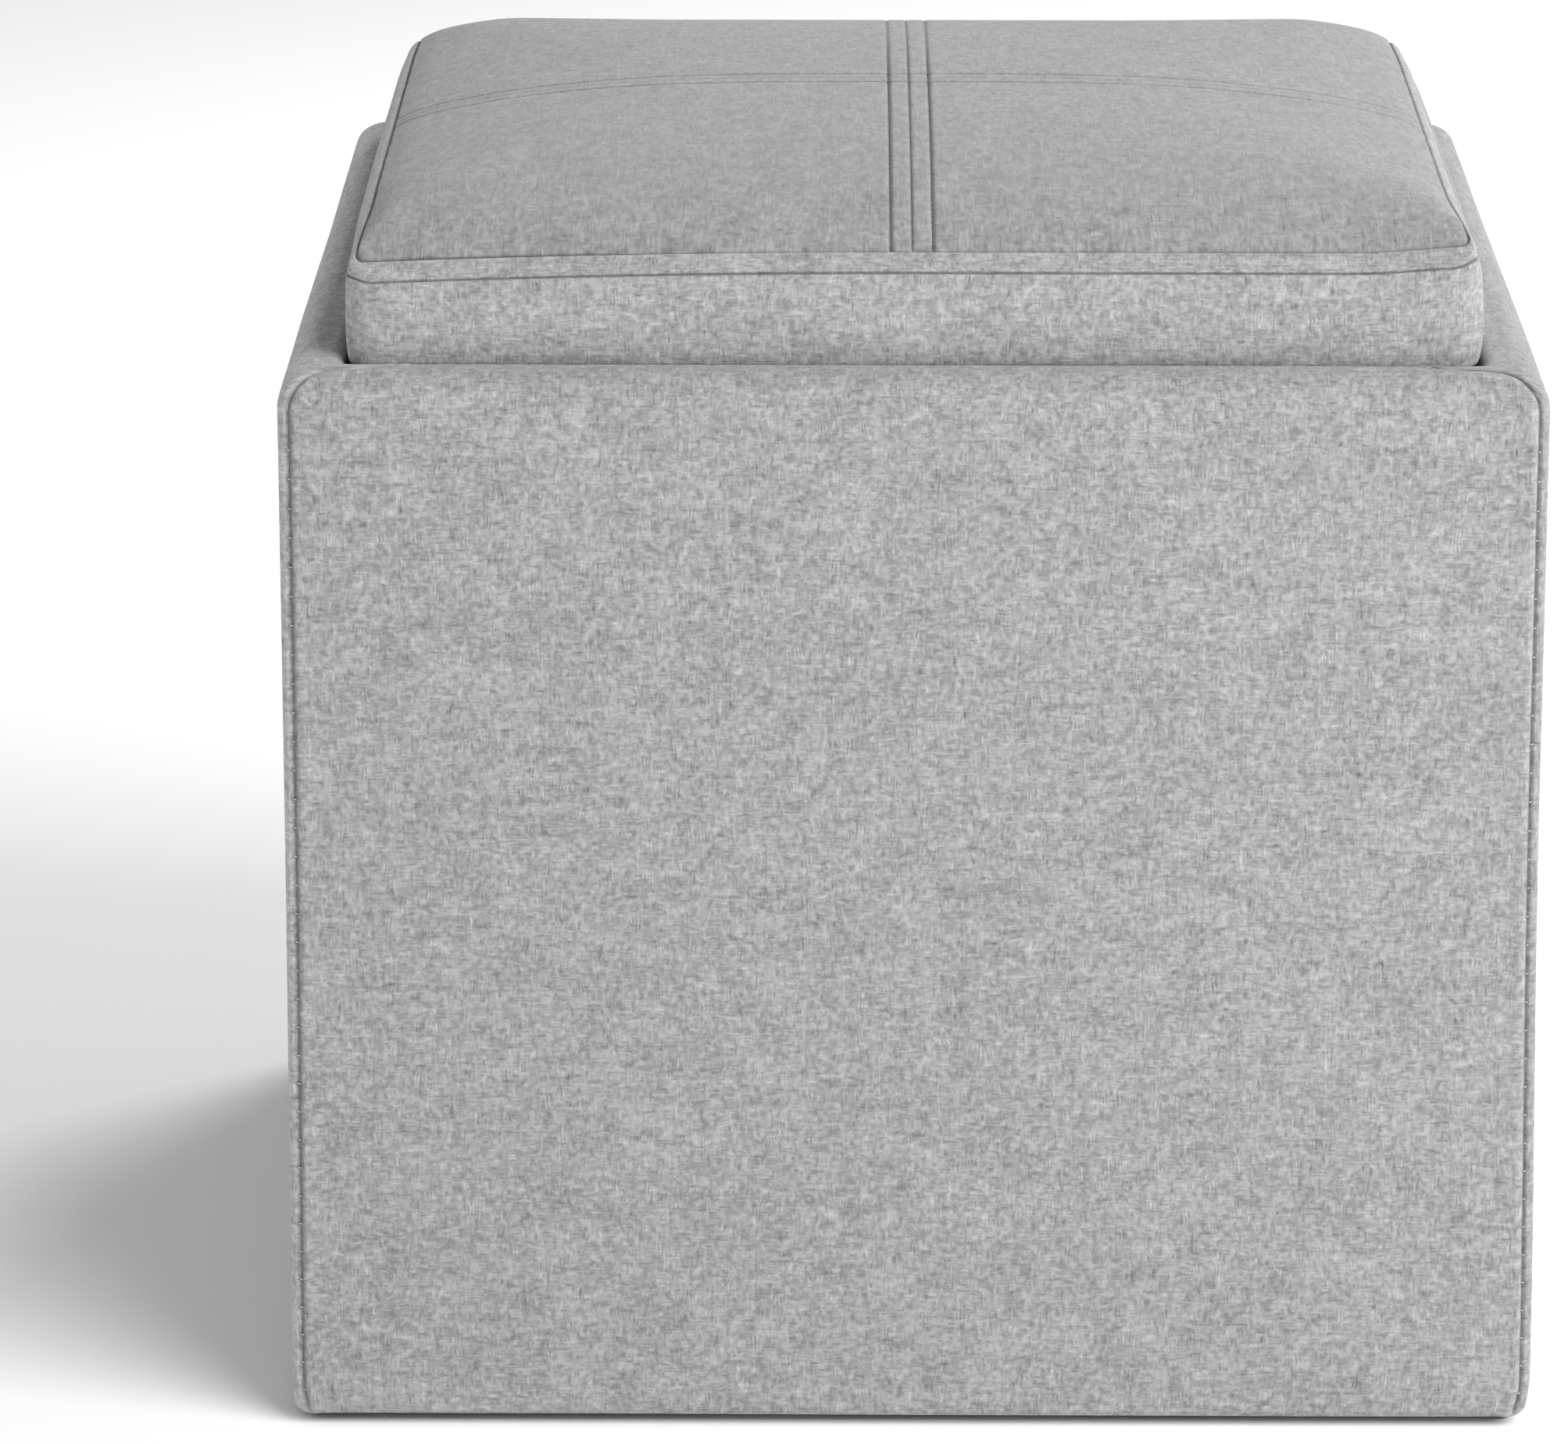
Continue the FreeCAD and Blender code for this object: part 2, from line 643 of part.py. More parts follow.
# The lid: its side swells out above the rim, and its top is crowned
def rounded_square(name, half, corner, level):
    """A centred outline with round corners; half is a pair of expressions."""
    sketch = document.addObject("Sketcher::SketchObject", name)
    x, y, r = value_of(half[0]), value_of(half[1]), value_of(corner)
    starts = [(r - x, -y), (x, r - y), (x - r, y), (-x, y - r)]
    ends = [(x - r, -y), (x, y - r), (r - x, y), (-x, r - y)]
    centres = [(x - r, r - y), (x - r, y - r), (r - x, y - r), (r - x, r - y)]
    quarter = math.pi / 2
    for number in range(4):
        sketch.addGeometry(Part.LineSegment(
            FreeCAD.Vector(*starts[number], 0), FreeCAD.Vector(*ends[number], 0)), False)
        circle = Part.Circle(FreeCAD.Vector(*centres[number], 0), Z_AXIS, r)
        sketch.addGeometry(Part.ArcOfCircle(circle, (number - 1) * quarter, number * quarter), False)
    for number in range(8):
        sketch.addConstraint(Sketcher.Constraint("Tangent", number, 2, (number + 1) % 8, 1))
    for number, kind in ((0, "Horizontal"), (2, "Vertical"), (4, "Horizontal"), (6, "Vertical")):
        sketch.addConstraint(Sketcher.Constraint(kind, number))
    for number in (3, 5, 7):
        sketch.addConstraint(Sketcher.Constraint("Equal", 1, number))
    limits = [
        ("DistanceY", 0, f"-({half[1]})"), ("DistanceX", 2, half[0]),
        ("DistanceY", 4, half[1]), ("DistanceX", 6, f"-({half[0]})")]
    for kind, line, expression in limits:
        index = sketch.addConstraint(
            Sketcher.Constraint(kind, -1, 1, line, 1, value_of(expression)))
        sketch.setExpression(f"Constraints[{index}]", sized(expression))
    index = sketch.addConstraint(Sketcher.Constraint("Radius", 1, r))
    sketch.setExpression(f"Constraints[{index}]", sized(corner))
    sketch.setExpression(".Placement.Base.z", sized(level))
    return sketch


def loft(name, sections):
    item = document.addObject("Part::Loft", name)
    item.Sections = sections
    item.Solid = True
    item.Ruled = True  # flat bands follow the swell closely and stay light
    return item


def lid_outline(name, outset, inset, level):
    change = f"- {LID_INSET} + {outset} - {inset}"
    half = (f"{HALF_WIDTH} {change}", f"{HALF_DEPTH} {change}")
    return rounded_square(name, half, f"lid_corner_round + {outset} - {inset}", level)


SIDE_PROFILE = [  # how far out from the lid's foot, and at what height
    ("0", REST_TOP),
    ("0", "rim_height - lid_seat_depth / 4"),
    ("lid_bulge * 0.75", "rim_height + lid_seam_rise * 0.2"),
    ("lid_bulge", "rim_height + lid_seam_rise * 0.55"),
    ("(lid_bulge - lid_seam_pull)", LID_SEAM),
]


def lid_side(name, inset):
    sections = []
    for number, (outset, level) in enumerate(SIDE_PROFILE):
        height = f"{level} + {inset}" if number == 0 else level
        sections.append(lid_outline(f"{name}_outline_{number}", outset, inset, height))
    return loft(name, sections)


# The crown is what four vaults share: one each way and one over each diagonal.
# A vault's section is a flat arc with a tighter shoulder at each end.
def crown_section(name, half, shoulder, inset, turn):
    sketch = document.addObject("Sketcher::SketchObject", name)
    reach = value_of(half)
    seam = value_of(LID_SEAM)
    crown_size = f"crown_radius - {inset}"
    shoulder_size = f"{shoulder} - {inset}"
    crown_r = value_of(crown_size)
    shoulder_r = value_of(shoulder_size)
    crown_x, crown_y = 0, seam + value_of(f"lid_crown - {inset}") - crown_r
    # the shoulder's centre: its radius from the seam, the radii's difference from the crown's centre
    span = math.hypot(reach, seam - crown_y)
    gap = crown_r - shoulder_r
    along = (gap ** 2 - shoulder_r ** 2 + span ** 2) / (2 * span)
    aside = math.sqrt(gap ** 2 - along ** 2)
    unit_x, unit_y = reach / span, (seam - crown_y) / span
    centre_x = along * unit_x - aside * unit_y
    centre_y = crown_y + along * unit_y + aside * unit_x
    join_angle = math.atan2(centre_y - crown_y, centre_x - crown_x)
    seam_angle = math.atan2(seam - centre_y, reach - centre_x)

    def arc(x, y, radius, first, last):
        circle = Part.Circle(FreeCAD.Vector(x, y, 0), Z_AXIS, radius)
        sketch.addGeometry(Part.ArcOfCircle(circle, first, last), False)

    arc(centre_x, centre_y, shoulder_r, seam_angle, join_angle)
    arc(crown_x, crown_y, crown_r, join_angle, math.pi - join_angle)
    arc(-centre_x, centre_y, shoulder_r, math.pi - join_angle, math.pi - seam_angle)
    sketch.addGeometry(
        Part.LineSegment(FreeCAD.Vector(-reach, seam, 0), FreeCAD.Vector(reach, seam, 0)), False)
    for first, second in ((0, 1), (1, 2)):
        sketch.addConstraint(Sketcher.Constraint("Tangent", first, 2, second, 1))
    sketch.addConstraint(Sketcher.Constraint("Coincident", 2, 2, 3, 1))
    sketch.addConstraint(Sketcher.Constraint("Coincident", 3, 2, 0, 1))
    sketch.addConstraint(Sketcher.Constraint("PointOnObject", 1, 3, -2))
    sketch.addConstraint(Sketcher.Constraint("Equal", 0, 2))
    bound = [
        (("Radius", 0), shoulder_size),
        (("Radius", 1), crown_size),
        (("DistanceX", -1, 1, 3, 1), f"-({half})"),
        (("DistanceX", -1, 1, 3, 2), half),
        (("DistanceY", -1, 1, 3, 1), LID_SEAM),
        (("DistanceY", -1, 1, 3, 2), LID_SEAM),
        (("DistanceY", 1, 3, -1, 1), f"{crown_size} - {LID_SEAM} - lid_crown + {inset}"),
    ]
    for arguments, expression in bound:
        index = sketch.addConstraint(Sketcher.Constraint(*arguments, value_of(expression)))
        sketch.setExpression(f"Constraints[{index}]", sized(expression))
    upright = FreeCAD.Rotation(X_AXIS, 90)
    sketch.Placement = FreeCAD.Placement(
        FreeCAD.Vector(0, 0, 0), FreeCAD.Rotation(Z_AXIS, turn).multiply(upright))
    return sketch


def extrusion(name, sketch, length, direction, both_ways):
    item = document.addObject("Part::Extrusion", name)
    item.Base = sketch
    item.DirMode = "Custom"
    item.Dir = direction
    item.Symmetric = both_ways
    item.Solid = True
    bind(item, LengthFwd=length)
    return item


SEAM_OUTSET = "(lid_bulge - lid_seam_pull)"


def lid_top(name, inset):
    half_x = f"({HALF_WIDTH} - {LID_INSET} + {SEAM_OUTSET} - {inset})"
    half_y = f"({HALF_DEPTH} - {LID_INSET} + {SEAM_OUTSET} - {inset})"
    corner = f"(lid_corner_round + {SEAM_OUTSET} - {inset})"
    diagonal = f"(({half_x} + {half_y}) / sqrt(2) - {corner} * (sqrt(2) - 1))"
    vaults = [
        ("across", half_x, "shoulder_radius", 0), ("along", half_y, "shoulder_radius", 90),
        ("rising", diagonal, "corner_shoulder_radius", 45),
        ("falling", diagonal, "corner_shoulder_radius", 135),
    ]
    shapes = []
    for word, half, shoulder, turn in vaults:
        section = crown_section(f"{name}_{word}_section", half, shoulder, inset, turn)
        direction = FreeCAD.Rotation(Z_AXIS, turn).multVec(Y_AXIS)
        shapes.append(extrusion(
            f"{name}_{word}", section, f"2 * ({HALF_WIDTH} + {HALF_DEPTH})", direction, True))
    plan = lid_outline(f"{name}_plan", SEAM_OUTSET, inset, LID_SEAM)
    shapes.append(extrusion(f"{name}_block", plan, "lid_crown + 1", Z_AXIS, False))
    item = document.addObject("Part::MultiCommon", name)
    item.Shapes = shapes
    return item


def lid_slab(name, low, high):
    return box(
        name,
        (f"-{HALF_WIDTH}", f"-{HALF_DEPTH}", low),
        (HALF_WIDTH, HALF_DEPTH, high),
    )


side_outer = lid_side("lid_side_outer", "0")
side_inner = lid_side("lid_side_inner", "cover_thick")
top_outer = lid_top("lid_top_outer", "0")
top_inner = lid_top("lid_top_inner", "cover_thick")

BOARD_FOOT = f"({REST_TOP} + cover_thick)"
FOAM_FOOT = f"({BOARD_FOOT} + lid_board_thick)"
CROWN_FOOT = f"({LID_SEAM} - lid_foam_drop)"
make_node(common("lid_board", side_inner, lid_slab("lid_board_slab", BOARD_FOOT, FOAM_FOOT)), "lid_board")
make_node(common("lid_foam", side_inner, lid_slab("lid_foam_slab", FOAM_FOOT, CROWN_FOOT)), "lid_foam")
crown_foot = common("crown_foot", side_inner, lid_slab("lid_crown_slab", CROWN_FOOT, LID_SEAM))
make_node(fuse("lid_crown_pad", [crown_foot, top_inner]), "lid_crown_pad")

boxing_skin = cut("lid_boxing_skin", side_outer, side_inner)
LID_HEM_INSET = f"({LID_INSET} + lid_hem_width)"
under_opening = box(
    "lid_under_opening",
    (f"-{HALF_WIDTH} + {LID_HEM_INSET}", f"-{HALF_DEPTH} + {LID_HEM_INSET}", "0"),
    (f"{HALF_WIDTH} - {LID_HEM_INSET}", f"{HALF_DEPTH} - {LID_HEM_INSET}", LID_SEAM),
)
make_node(cut("lid_boxing", boxing_skin, under_opening), "lid_boxing")

top_skin = cut("lid_top_skin", top_outer, top_inner)
for word, x_side, y_side in CORNERS:
    low_x, high_x = (f"-{HALF_WIDTH}", "0") if x_side < 0 else ("0", HALF_WIDTH)
    low_y, high_y = (f"-{HALF_DEPTH}", "0") if y_side < 0 else ("0", HALF_DEPTH)
    quarter_box = box(
        f"lid_panel_{word}_quarter",
        (low_x, low_y, CROWN_FOOT),
        (high_x, high_y, f"{LID_SEAM} + lid_crown + cover_thick"),
    )
    make_node(common(f"lid_panel_{word}", top_skin, quarter_box), f"lid_panel_{word}")

inside_box(
    "lid_underlay", f"({LID_INSET} + underlay_margin)", f"{REST_TOP} - underlay_thick", REST_TOP)
lid_foot = value_of(LID_INSET) + value_of("underlay_margin + lid_hem_width") / 2
group("lid_staples", staple_ring(
    half_x - lid_foot, half_y - lid_foot, value_of(REST_TOP), 4))


# Check every object, then write one STEP file for each node
document.recompute()
for item in document.Objects:
    if "Invalid" in item.State or "Error" in item.State:
        raise RuntimeError(f"{item.Name} failed: {item.State}")
for node in nodes:
    if node.Shape.isNull() or not node.Shape.isValid() or not node.Shape.Solids:
        raise RuntimeError(f"{node.Label} has no valid solid")
os.makedirs("parts", exist_ok=True)
for node in nodes:
    node.Shape.exportStep(f"parts/{node.Label}.step")
    solids = len(node.Shape.Solids)
    print(f"{node.Label}: {solids} solid(s), {node.Shape.Volume / 1000:.1f} cm3")
print(f"{len(nodes)} nodes")
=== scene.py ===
import json
import math

import bpy
import numpy as np
from mathutils import Matrix, Vector
from mathutils.kdtree import KDTree

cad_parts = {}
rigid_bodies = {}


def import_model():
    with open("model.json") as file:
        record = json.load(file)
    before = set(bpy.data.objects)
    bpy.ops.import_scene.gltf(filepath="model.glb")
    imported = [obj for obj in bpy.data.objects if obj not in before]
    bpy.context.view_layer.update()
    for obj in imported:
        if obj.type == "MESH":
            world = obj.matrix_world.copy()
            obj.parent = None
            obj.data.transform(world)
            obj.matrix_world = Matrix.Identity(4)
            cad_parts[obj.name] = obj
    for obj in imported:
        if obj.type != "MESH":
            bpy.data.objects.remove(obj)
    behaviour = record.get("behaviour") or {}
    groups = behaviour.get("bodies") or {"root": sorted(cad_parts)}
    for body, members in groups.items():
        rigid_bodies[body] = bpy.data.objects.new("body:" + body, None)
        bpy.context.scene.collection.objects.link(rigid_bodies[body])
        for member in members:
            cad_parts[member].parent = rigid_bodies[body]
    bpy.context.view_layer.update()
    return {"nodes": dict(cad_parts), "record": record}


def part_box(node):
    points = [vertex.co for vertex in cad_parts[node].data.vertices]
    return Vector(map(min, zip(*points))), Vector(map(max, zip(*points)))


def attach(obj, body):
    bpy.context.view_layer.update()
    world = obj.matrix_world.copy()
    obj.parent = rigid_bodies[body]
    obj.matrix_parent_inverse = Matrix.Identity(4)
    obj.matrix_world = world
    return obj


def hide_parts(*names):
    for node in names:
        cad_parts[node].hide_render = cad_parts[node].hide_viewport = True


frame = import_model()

randomSeed = 11
print("frame loaded:", len(frame["nodes"]), "nodes")


# Camera, about a metre up and well back from the ottoman, seen through a long lens
viewCamera = {
    "place": (-0.0224, -2.773, 0.9875),
    "downTilt": 15.93,  # degrees
    "leftTurn": 0.48,
    "lens": 178.3,
    "sensor": 36.0,
    "nearest": 0.05,
    "farthest": 60.0,
}


def addObject(name, data):
    made = bpy.data.objects.new(name, data)
    bpy.context.scene.collection.objects.link(made)
    return made


def addCamera(settings):
    data = bpy.data.cameras.new("viewCamera")
    data.lens = settings["lens"]
    data.sensor_width = settings["sensor"]
    data.clip_start = settings["nearest"]
    data.clip_end = settings["farthest"]
    camera = addObject("viewCamera", data)
    camera.location = settings["place"]
    camera.rotation_euler = (
        math.radians(90 - settings["downTilt"]), 0, math.radians(settings["leftTurn"]))
    bpy.context.scene.camera = camera


addCamera(viewCamera)


# Shader helpers: a Socket does maths by operators, a Finish makes nodes
class Socket:
    def __init__(self, finish, output):
        self.finish = finish
        self.output = output

    def maths(self, operation, *values):
        return self.finish.node("ShaderNodeMath", {"operation": operation}, dict(enumerate(values)))

    def __add__(self, other):
        return self.maths("ADD", self, other)

    def __radd__(self, other):
        return self.maths("ADD", other, self)

    def __sub__(self, other):
        return self.maths("SUBTRACT", self, other)

    def __rsub__(self, other):
        return self.maths("SUBTRACT", other, self)

    def __mul__(self, other):
        return self.maths("MULTIPLY", self, other)

    def __rmul__(self, other):
        return self.maths("MULTIPLY", other, self)

    def __truediv__(self, other):
        return self.maths("DIVIDE", self, other)

    def __rtruediv__(self, other):
        return self.maths("DIVIDE", other, self)

    def __abs__(self):
        return self.maths("ABSOLUTE", self)

    def sine(self):
        return self.maths("SINE", self)

    def fraction(self):
        return self.maths("FRACT", self)

    def ramped(self, low, high):
        return self.finish.node(
            "ShaderNodeMapRange", {"interpolation_type": "SMOOTHSTEP"},
            {"Value": self, "From Min": low, "From Max": high})


class Finish:
    def __init__(self, name):
        self.material = bpy.data.materials.new(name)
        self.material.use_nodes = True
        self.tree = self.material.node_tree
        self.tree.nodes.clear()

    def node(self, kind, settings, values, output=0):
        # settings go first; values are numbers, colours or links for the sockets
        made = self.tree.nodes.new(kind)
        for name, value in settings.items():
            if name == "stops":
                self.setStops(made.color_ramp, value)
            else:
                setattr(made, name, value)
        for name, value in values.items():
            if isinstance(value, Socket):
                self.tree.links.new(value.output, made.inputs[name])
            else:
                made.inputs[name].default_value = value
        return Socket(self, made.outputs[output])

    def setStops(self, ramp, stops):
        while len(ramp.elements) < len(stops):
            ramp.elements.new(1.0)
        for element, (position, colour) in zip(ramp.elements, stops):
            element.position = position
            element.color = (*colour, 1.0)

    def combined(self, x, y, z):
        return self.node("ShaderNodeCombineXYZ", {}, {"X": x, "Y": y, "Z": z})

    def noise(self, vector, scale=1.0, detail=2.0, roughness=0.5):
        return self.node("ShaderNodeTexNoise", {}, {
            "Vector": vector, "Scale": scale, "Detail": detail, "Roughness": roughness})

    def mixed(self, share, first, second):
        return self.node("ShaderNodeMix", {"data_type": "RGBA"}, {0: share, 6: first, 7: second}, output=2)

    def toned(self, value, stops):
        return self.node("ShaderNodeValToRGB", {"stops": stops}, {"Fac": value})

    def bumped(self, height, distance):
        return self.node("ShaderNodeBump", {}, {"Height": height, "Distance": distance})

    def finished(self, values):
        shader = self.node("ShaderNodeBsdfPrincipled", {}, values)
        self.tree.links.new(
            shader.output, self.tree.nodes.new("ShaderNodeOutputMaterial").inputs["Surface"])
        return self.material


def rgb(*levels):
    return (*levels, 1.0)


# Upholstery cloth: a melange plain weave, drawn in millimetres of its own pattern
linen = {
    "thickness": 0.0009,  # metres
    "threadPitch": 1.25,  # millimetres
    "darkYarn": (0.070, 0.071, 0.073),
    "midYarn": (0.227, 0.227, 0.227),
    "paleYarn": (0.414, 0.414, 0.411),
    "contrast": 1.0,
    "topContrast": 0.66,  # the lid's top is brushed softer by use
    "topDrawn": 2.1,  # and its flecks are drawn out front to back
    # painted shade: the lid's top panels are a darker copy of the same cloth
    "topPaintedShade": 0.82,
    "leftTone": 1.16,  # painted light on the left side panel and painted shade on the right one: a lighter and a darker copy of the cloth
    "rightPaintedShade": 0.85,
    "seamShadeColour": (0.034, 0.034, 0.035),
    "seamShade": 0.72,
    "seamWidths": (0.12, 0.90),  # millimetres from a seam to where its shade starts to fade, and ends
    "weaveDepth": 0.00025,  # metres
    "dashShare": 0.60,
    "ribShare": 0.075,
    "pickShare": 0.06,
    "layers": [  # width and height in millimetres, place in the noise, detail, share of the tone
        (2.2, 2.2, 1.3, 1.0, 0.38),  # flecks
        (4.4, 4.4, 5.2, 1.0, 0.20),  # pebbles
        (15.0, 2.6, 17.7, 1.0, 0.15),  # slubs
        (9.5, 9.5, 7.7, 1.0, 0.10),  # mottles
        (26.0, 26.0, 11.9, 2.0, 0.09),  # blotches
    ],
}


def clothPosition(finish):
    uv = finish.node("ShaderNodeUVMap", {"uv_map": "cloth"}, {})
    split = finish.node("ShaderNodeSeparateXYZ", {}, {"Vector": uv})
    return [Socket(finish, split.output.node.outputs[axis]) * 1000 for axis in "XY"]


def readAttribute(finish, name):
    reader = finish.node("ShaderNodeAttribute", {"attribute_name": name}, {})
    return Socket(finish, reader.output.node.outputs["Fac"])


def yarnTone(finish, across, along):
    def noise(wide, tall, layer, detail=1.0):
        place = finish.combined(across / wide, along / tall, layer)
        return finish.noise(place, 1.0, detail) - 0.5

    # short dashes of single yarns, both ways, over pebbly flecks and soft mottling
    warp = noise(1.1, 4.2, 3.7, 2.0)
    weft = noise(4.2, 1.1, 9.1, 2.0)
    share = (noise(2.2, 2.2, 14.3) + 0.5).ramped(0.40, 0.60)
    dashes = warp * share + weft * (1 - share)
    tone = dashes * linen["dashShare"]
    for wide, tall, layer, detail, part in linen["layers"]:
        tone = tone + noise(wide, tall, layer, detail) * part
    # single warp and weft threads stand out in a few places
    pitch = linen["threadPitch"]
    wobble = noise(7.0, 7.0, 21.0) * 2.2
    ribs = ((across / pitch + wobble) * math.tau).sine() * noise(4.5, 8.0, 25.0).ramped(0.06, 0.22)
    picked = ((along / pitch + wobble) * math.tau).sine() * noise(8.0, 4.5, 31.0).ramped(0.08, 0.24)
    threads = ribs * linen["ribShare"] + picked * linen["pickShare"]
    return tone + threads, dashes + threads


def linenFinish(name, contrast, drawn=1.0, shade=1.0):
    finish = Finish(name)
    if contrast < 1:
        contrast = 1 - (1 - contrast) * readAttribute(finish, "brushed")
    across, along = clothPosition(finish)
    along = along / drawn
    tone, relief = yarnTone(finish, across, along)
    colour = finish.toned(tone * contrast + 0.5, [
        (place, tuple(level * shade for level in linen[yarn]))
        for place, yarn in ((0.18, "darkYarn"), (0.5, "midYarn"), (0.84, "paleYarn"))])
    # painted shade: a dark line along each seam, standing in for the shadow in its groove
    seam = abs(readAttribute(finish, "seamDistance")) * 1000
    line = (1 - seam.ramped(*linen["seamWidths"])) * readAttribute(finish, "seamTone")
    colour = finish.mixed(line * linen["seamShade"], colour, rgb(*linen["seamShadeColour"]))
    fibres = finish.noise(finish.combined(across, along, 1.3), 2.4, 1.0)
    normal = finish.bumped(relief * 0.9 + fibres * 0.35, linen["weaveDepth"])
    return finish.finished({
        "Base Color": colour, "Roughness": 0.92, "Normal": normal,
        "Specular IOR Level": 0.18, "Sheen Weight": 0.18, "Sheen Roughness": 0.6})


linenMaterial = linenFinish("linenCover", linen["contrast"])
linenLeftPaintedLightMaterial = linenFinish("linenLeftPaintedLight", linen["contrast"], shade=linen["leftTone"])
linenRightPaintedShadeMaterial = linenFinish("linenRightPaintedShade", linen["contrast"], shade=linen["rightPaintedShade"])
linenTopPaintedShadeMaterial = linenFinish("linenLidTopPaintedShade", linen["topContrast"], linen["topDrawn"], linen["topPaintedShade"])
print("cloth finish made")


# The other finishes, most of them inside the box or under it
innerTones = {
    "foam": ((0.70, 0.66, 0.52), (0.84, 0.81, 0.68)),
    "lining": ((0.022, 0.023, 0.026), (0.052, 0.054, 0.060)),
    "dust": ((0.008, 0.008, 0.009), (0.024, 0.024, 0.026)),
    # the dark roll under the hem paints the shadow in the gap under the box
    "hemShadow": ((0.030, 0.030, 0.032), (0.060, 0.060, 0.062)),
    "thread": (0.070, 0.071, 0.074),
    "knot": (0.34, 0.34, 0.337),
    "fibreboard": ((0.30, 0.19, 0.105), (0.46, 0.32, 0.19)),
    "plywood": ((0.42, 0.26, 0.13), (0.64, 0.45, 0.26)),
    "pine": ((0.50, 0.31, 0.15), (0.78, 0.58, 0.34)),
    "plasticDark": ((0.012, 0.012, 0.013), (0.030, 0.030, 0.032)),
    "zinc": ((0.50, 0.42, 0.22), (0.70, 0.62, 0.38)),
    "wire": ((0.42, 0.43, 0.45), (0.66, 0.67, 0.69)),
}


def objectPosition(finish):
    place = finish.node("ShaderNodeTexCoord", {}, {}, output="Object")
    split = finish.node("ShaderNodeSeparateXYZ", {}, {"Vector": place}, output="X")
    nodes = split.output.node.outputs
    return [Socket(finish, nodes[axis]) * 1000 for axis in "XYZ"]


def foamFinish(name):
    finish = Finish(name)
    place = finish.combined(*objectPosition(finish))
    cells = finish.node("ShaderNodeTexVoronoi", {"feature": "F1"}, {"Vector": place, "Scale": 1.25})
    clouds = finish.noise(place, 0.05, 2.0)
    tone = (1 - cells * 0.9) * 0.6 + clouds * 0.4
    colour = finish.toned(tone, [(0.2, innerTones["foam"][0]), (0.75, innerTones["foam"][1])])
    return finish.finished({
        "Base Color": colour, "Roughness": 0.95, "Specular IOR Level": 0.12,
        "Normal": finish.bumped(1 - cells, 0.0004)})


def spunFinish(name, tones, pitch=1.6):
    # spun-bonded cloth: pressed dots in a field of crossed fibres
    finish = Finish(name)
    across, along = clothPosition(finish)
    dots = ((across / pitch) * math.pi).sine() * ((along / pitch) * math.pi).sine()
    dots = abs(dots).ramped(0.55, 0.95)
    one = finish.noise(finish.combined(across / 0.5, along / 4.0, 2.0), 1.0, 2.0)
    other = finish.noise(finish.combined(across / 4.0, along / 0.5, 6.0), 1.0, 2.0)
    clouds = finish.noise(finish.combined(across, along, 9.0), 0.06, 3.0)
    tone = one * 0.4 + other * 0.4 + clouds * 0.35 - dots * 0.12
    colour = finish.toned(tone, [(0.32, tones[0]), (0.72, tones[1])])
    return finish.finished({
        "Base Color": colour, "Roughness": 0.82, "Specular IOR Level": 0.3,
        "Sheen Weight": 0.12, "Normal": finish.bumped(one + other - dots * 0.8, 0.00025)})


def threadFinish(name, tone):
    finish = Finish(name)
    x, y, z = objectPosition(finish)
    twist = ((x + y + z) * (math.tau / 0.55)).sine() * 0.5 + 0.5
    pale = tuple(min(1.0, level * 1.35) for level in tone)
    return finish.finished({
        "Base Color": finish.toned(twist, [(0.2, tone), (0.9, pale)]), "Roughness": 0.7,
        "Normal": finish.bumped(twist, 0.0001)})


def boardFinish(name, tones):
    # pressed wood fibre, with no grain
    finish = Finish(name)
    place = finish.combined(*objectPosition(finish))
    fibres = finish.noise(place, 0.9, 4.0, 0.7)
    clouds = finish.noise(place, 0.03, 2.0)
    tone = fibres * 0.65 + clouds * 0.35
    return finish.finished({
        "Base Color": finish.toned(tone, [(0.3, tones[0]), (0.7, tones[1])]), "Roughness": 0.78,
        "Normal": finish.bumped(fibres, 0.0002)})


def grainFinish(name, tones, along, ring, roughness):
    # wood grain stretched along one axis; along holds the three axes' stretch
    finish = Finish(name)
    x, y, z = [axis / stretch for axis, stretch in zip(objectPosition(finish), along)]
    place = finish.combined(x, y, z)
    bend = finish.noise(place, 0.5, 2.0)
    grain = ((x + y + z) * (1 / ring) + bend * 2.4).fraction()
    pores = finish.noise(place, 3.0, 3.0, 0.6)
    tone = (1 - grain) * 0.45 + pores * 0.55
    return finish.finished({
        "Base Color": finish.toned(tone, [(0.15, tones[0]), (0.8, tones[1])]),
        "Roughness": roughness, "Normal": finish.bumped(tone, 0.0002)})


def mouldedFinish(name, tones):
    finish = Finish(name)
    x, y, z = objectPosition(finish)
    grain = finish.noise(finish.combined(x, y, z), 2.2, 2.0)
    scuff = finish.noise(finish.combined(x / 6.0, y, z), 0.8, 3.0, 0.7).ramped(0.60, 0.70)
    colour = finish.mixed(scuff * 0.5, rgb(*tones[0]), rgb(*tones[1]))
    return finish.finished({
        "Base Color": colour, "Roughness": grain * 0.15 + scuff * 0.15 + 0.38,
        "Normal": finish.bumped(grain, 0.00008)})


def metalFinish(name, tones, roughness):
    finish = Finish(name)
    x, y, z = objectPosition(finish)
    bloom = finish.noise(finish.combined(x, y, z), 0.7, 3.0, 0.6)
    rub = finish.noise(finish.combined(x, y, z / 8.0), 3.0, 2.0)
    return finish.finished({
        "Base Color": finish.toned(bloom, [(0.3, tones[0]), (0.7, tones[1])]), "Metallic": 1.0,
        "Roughness": rub * 0.2 + roughness, "Normal": finish.bumped(rub, 0.00003)})


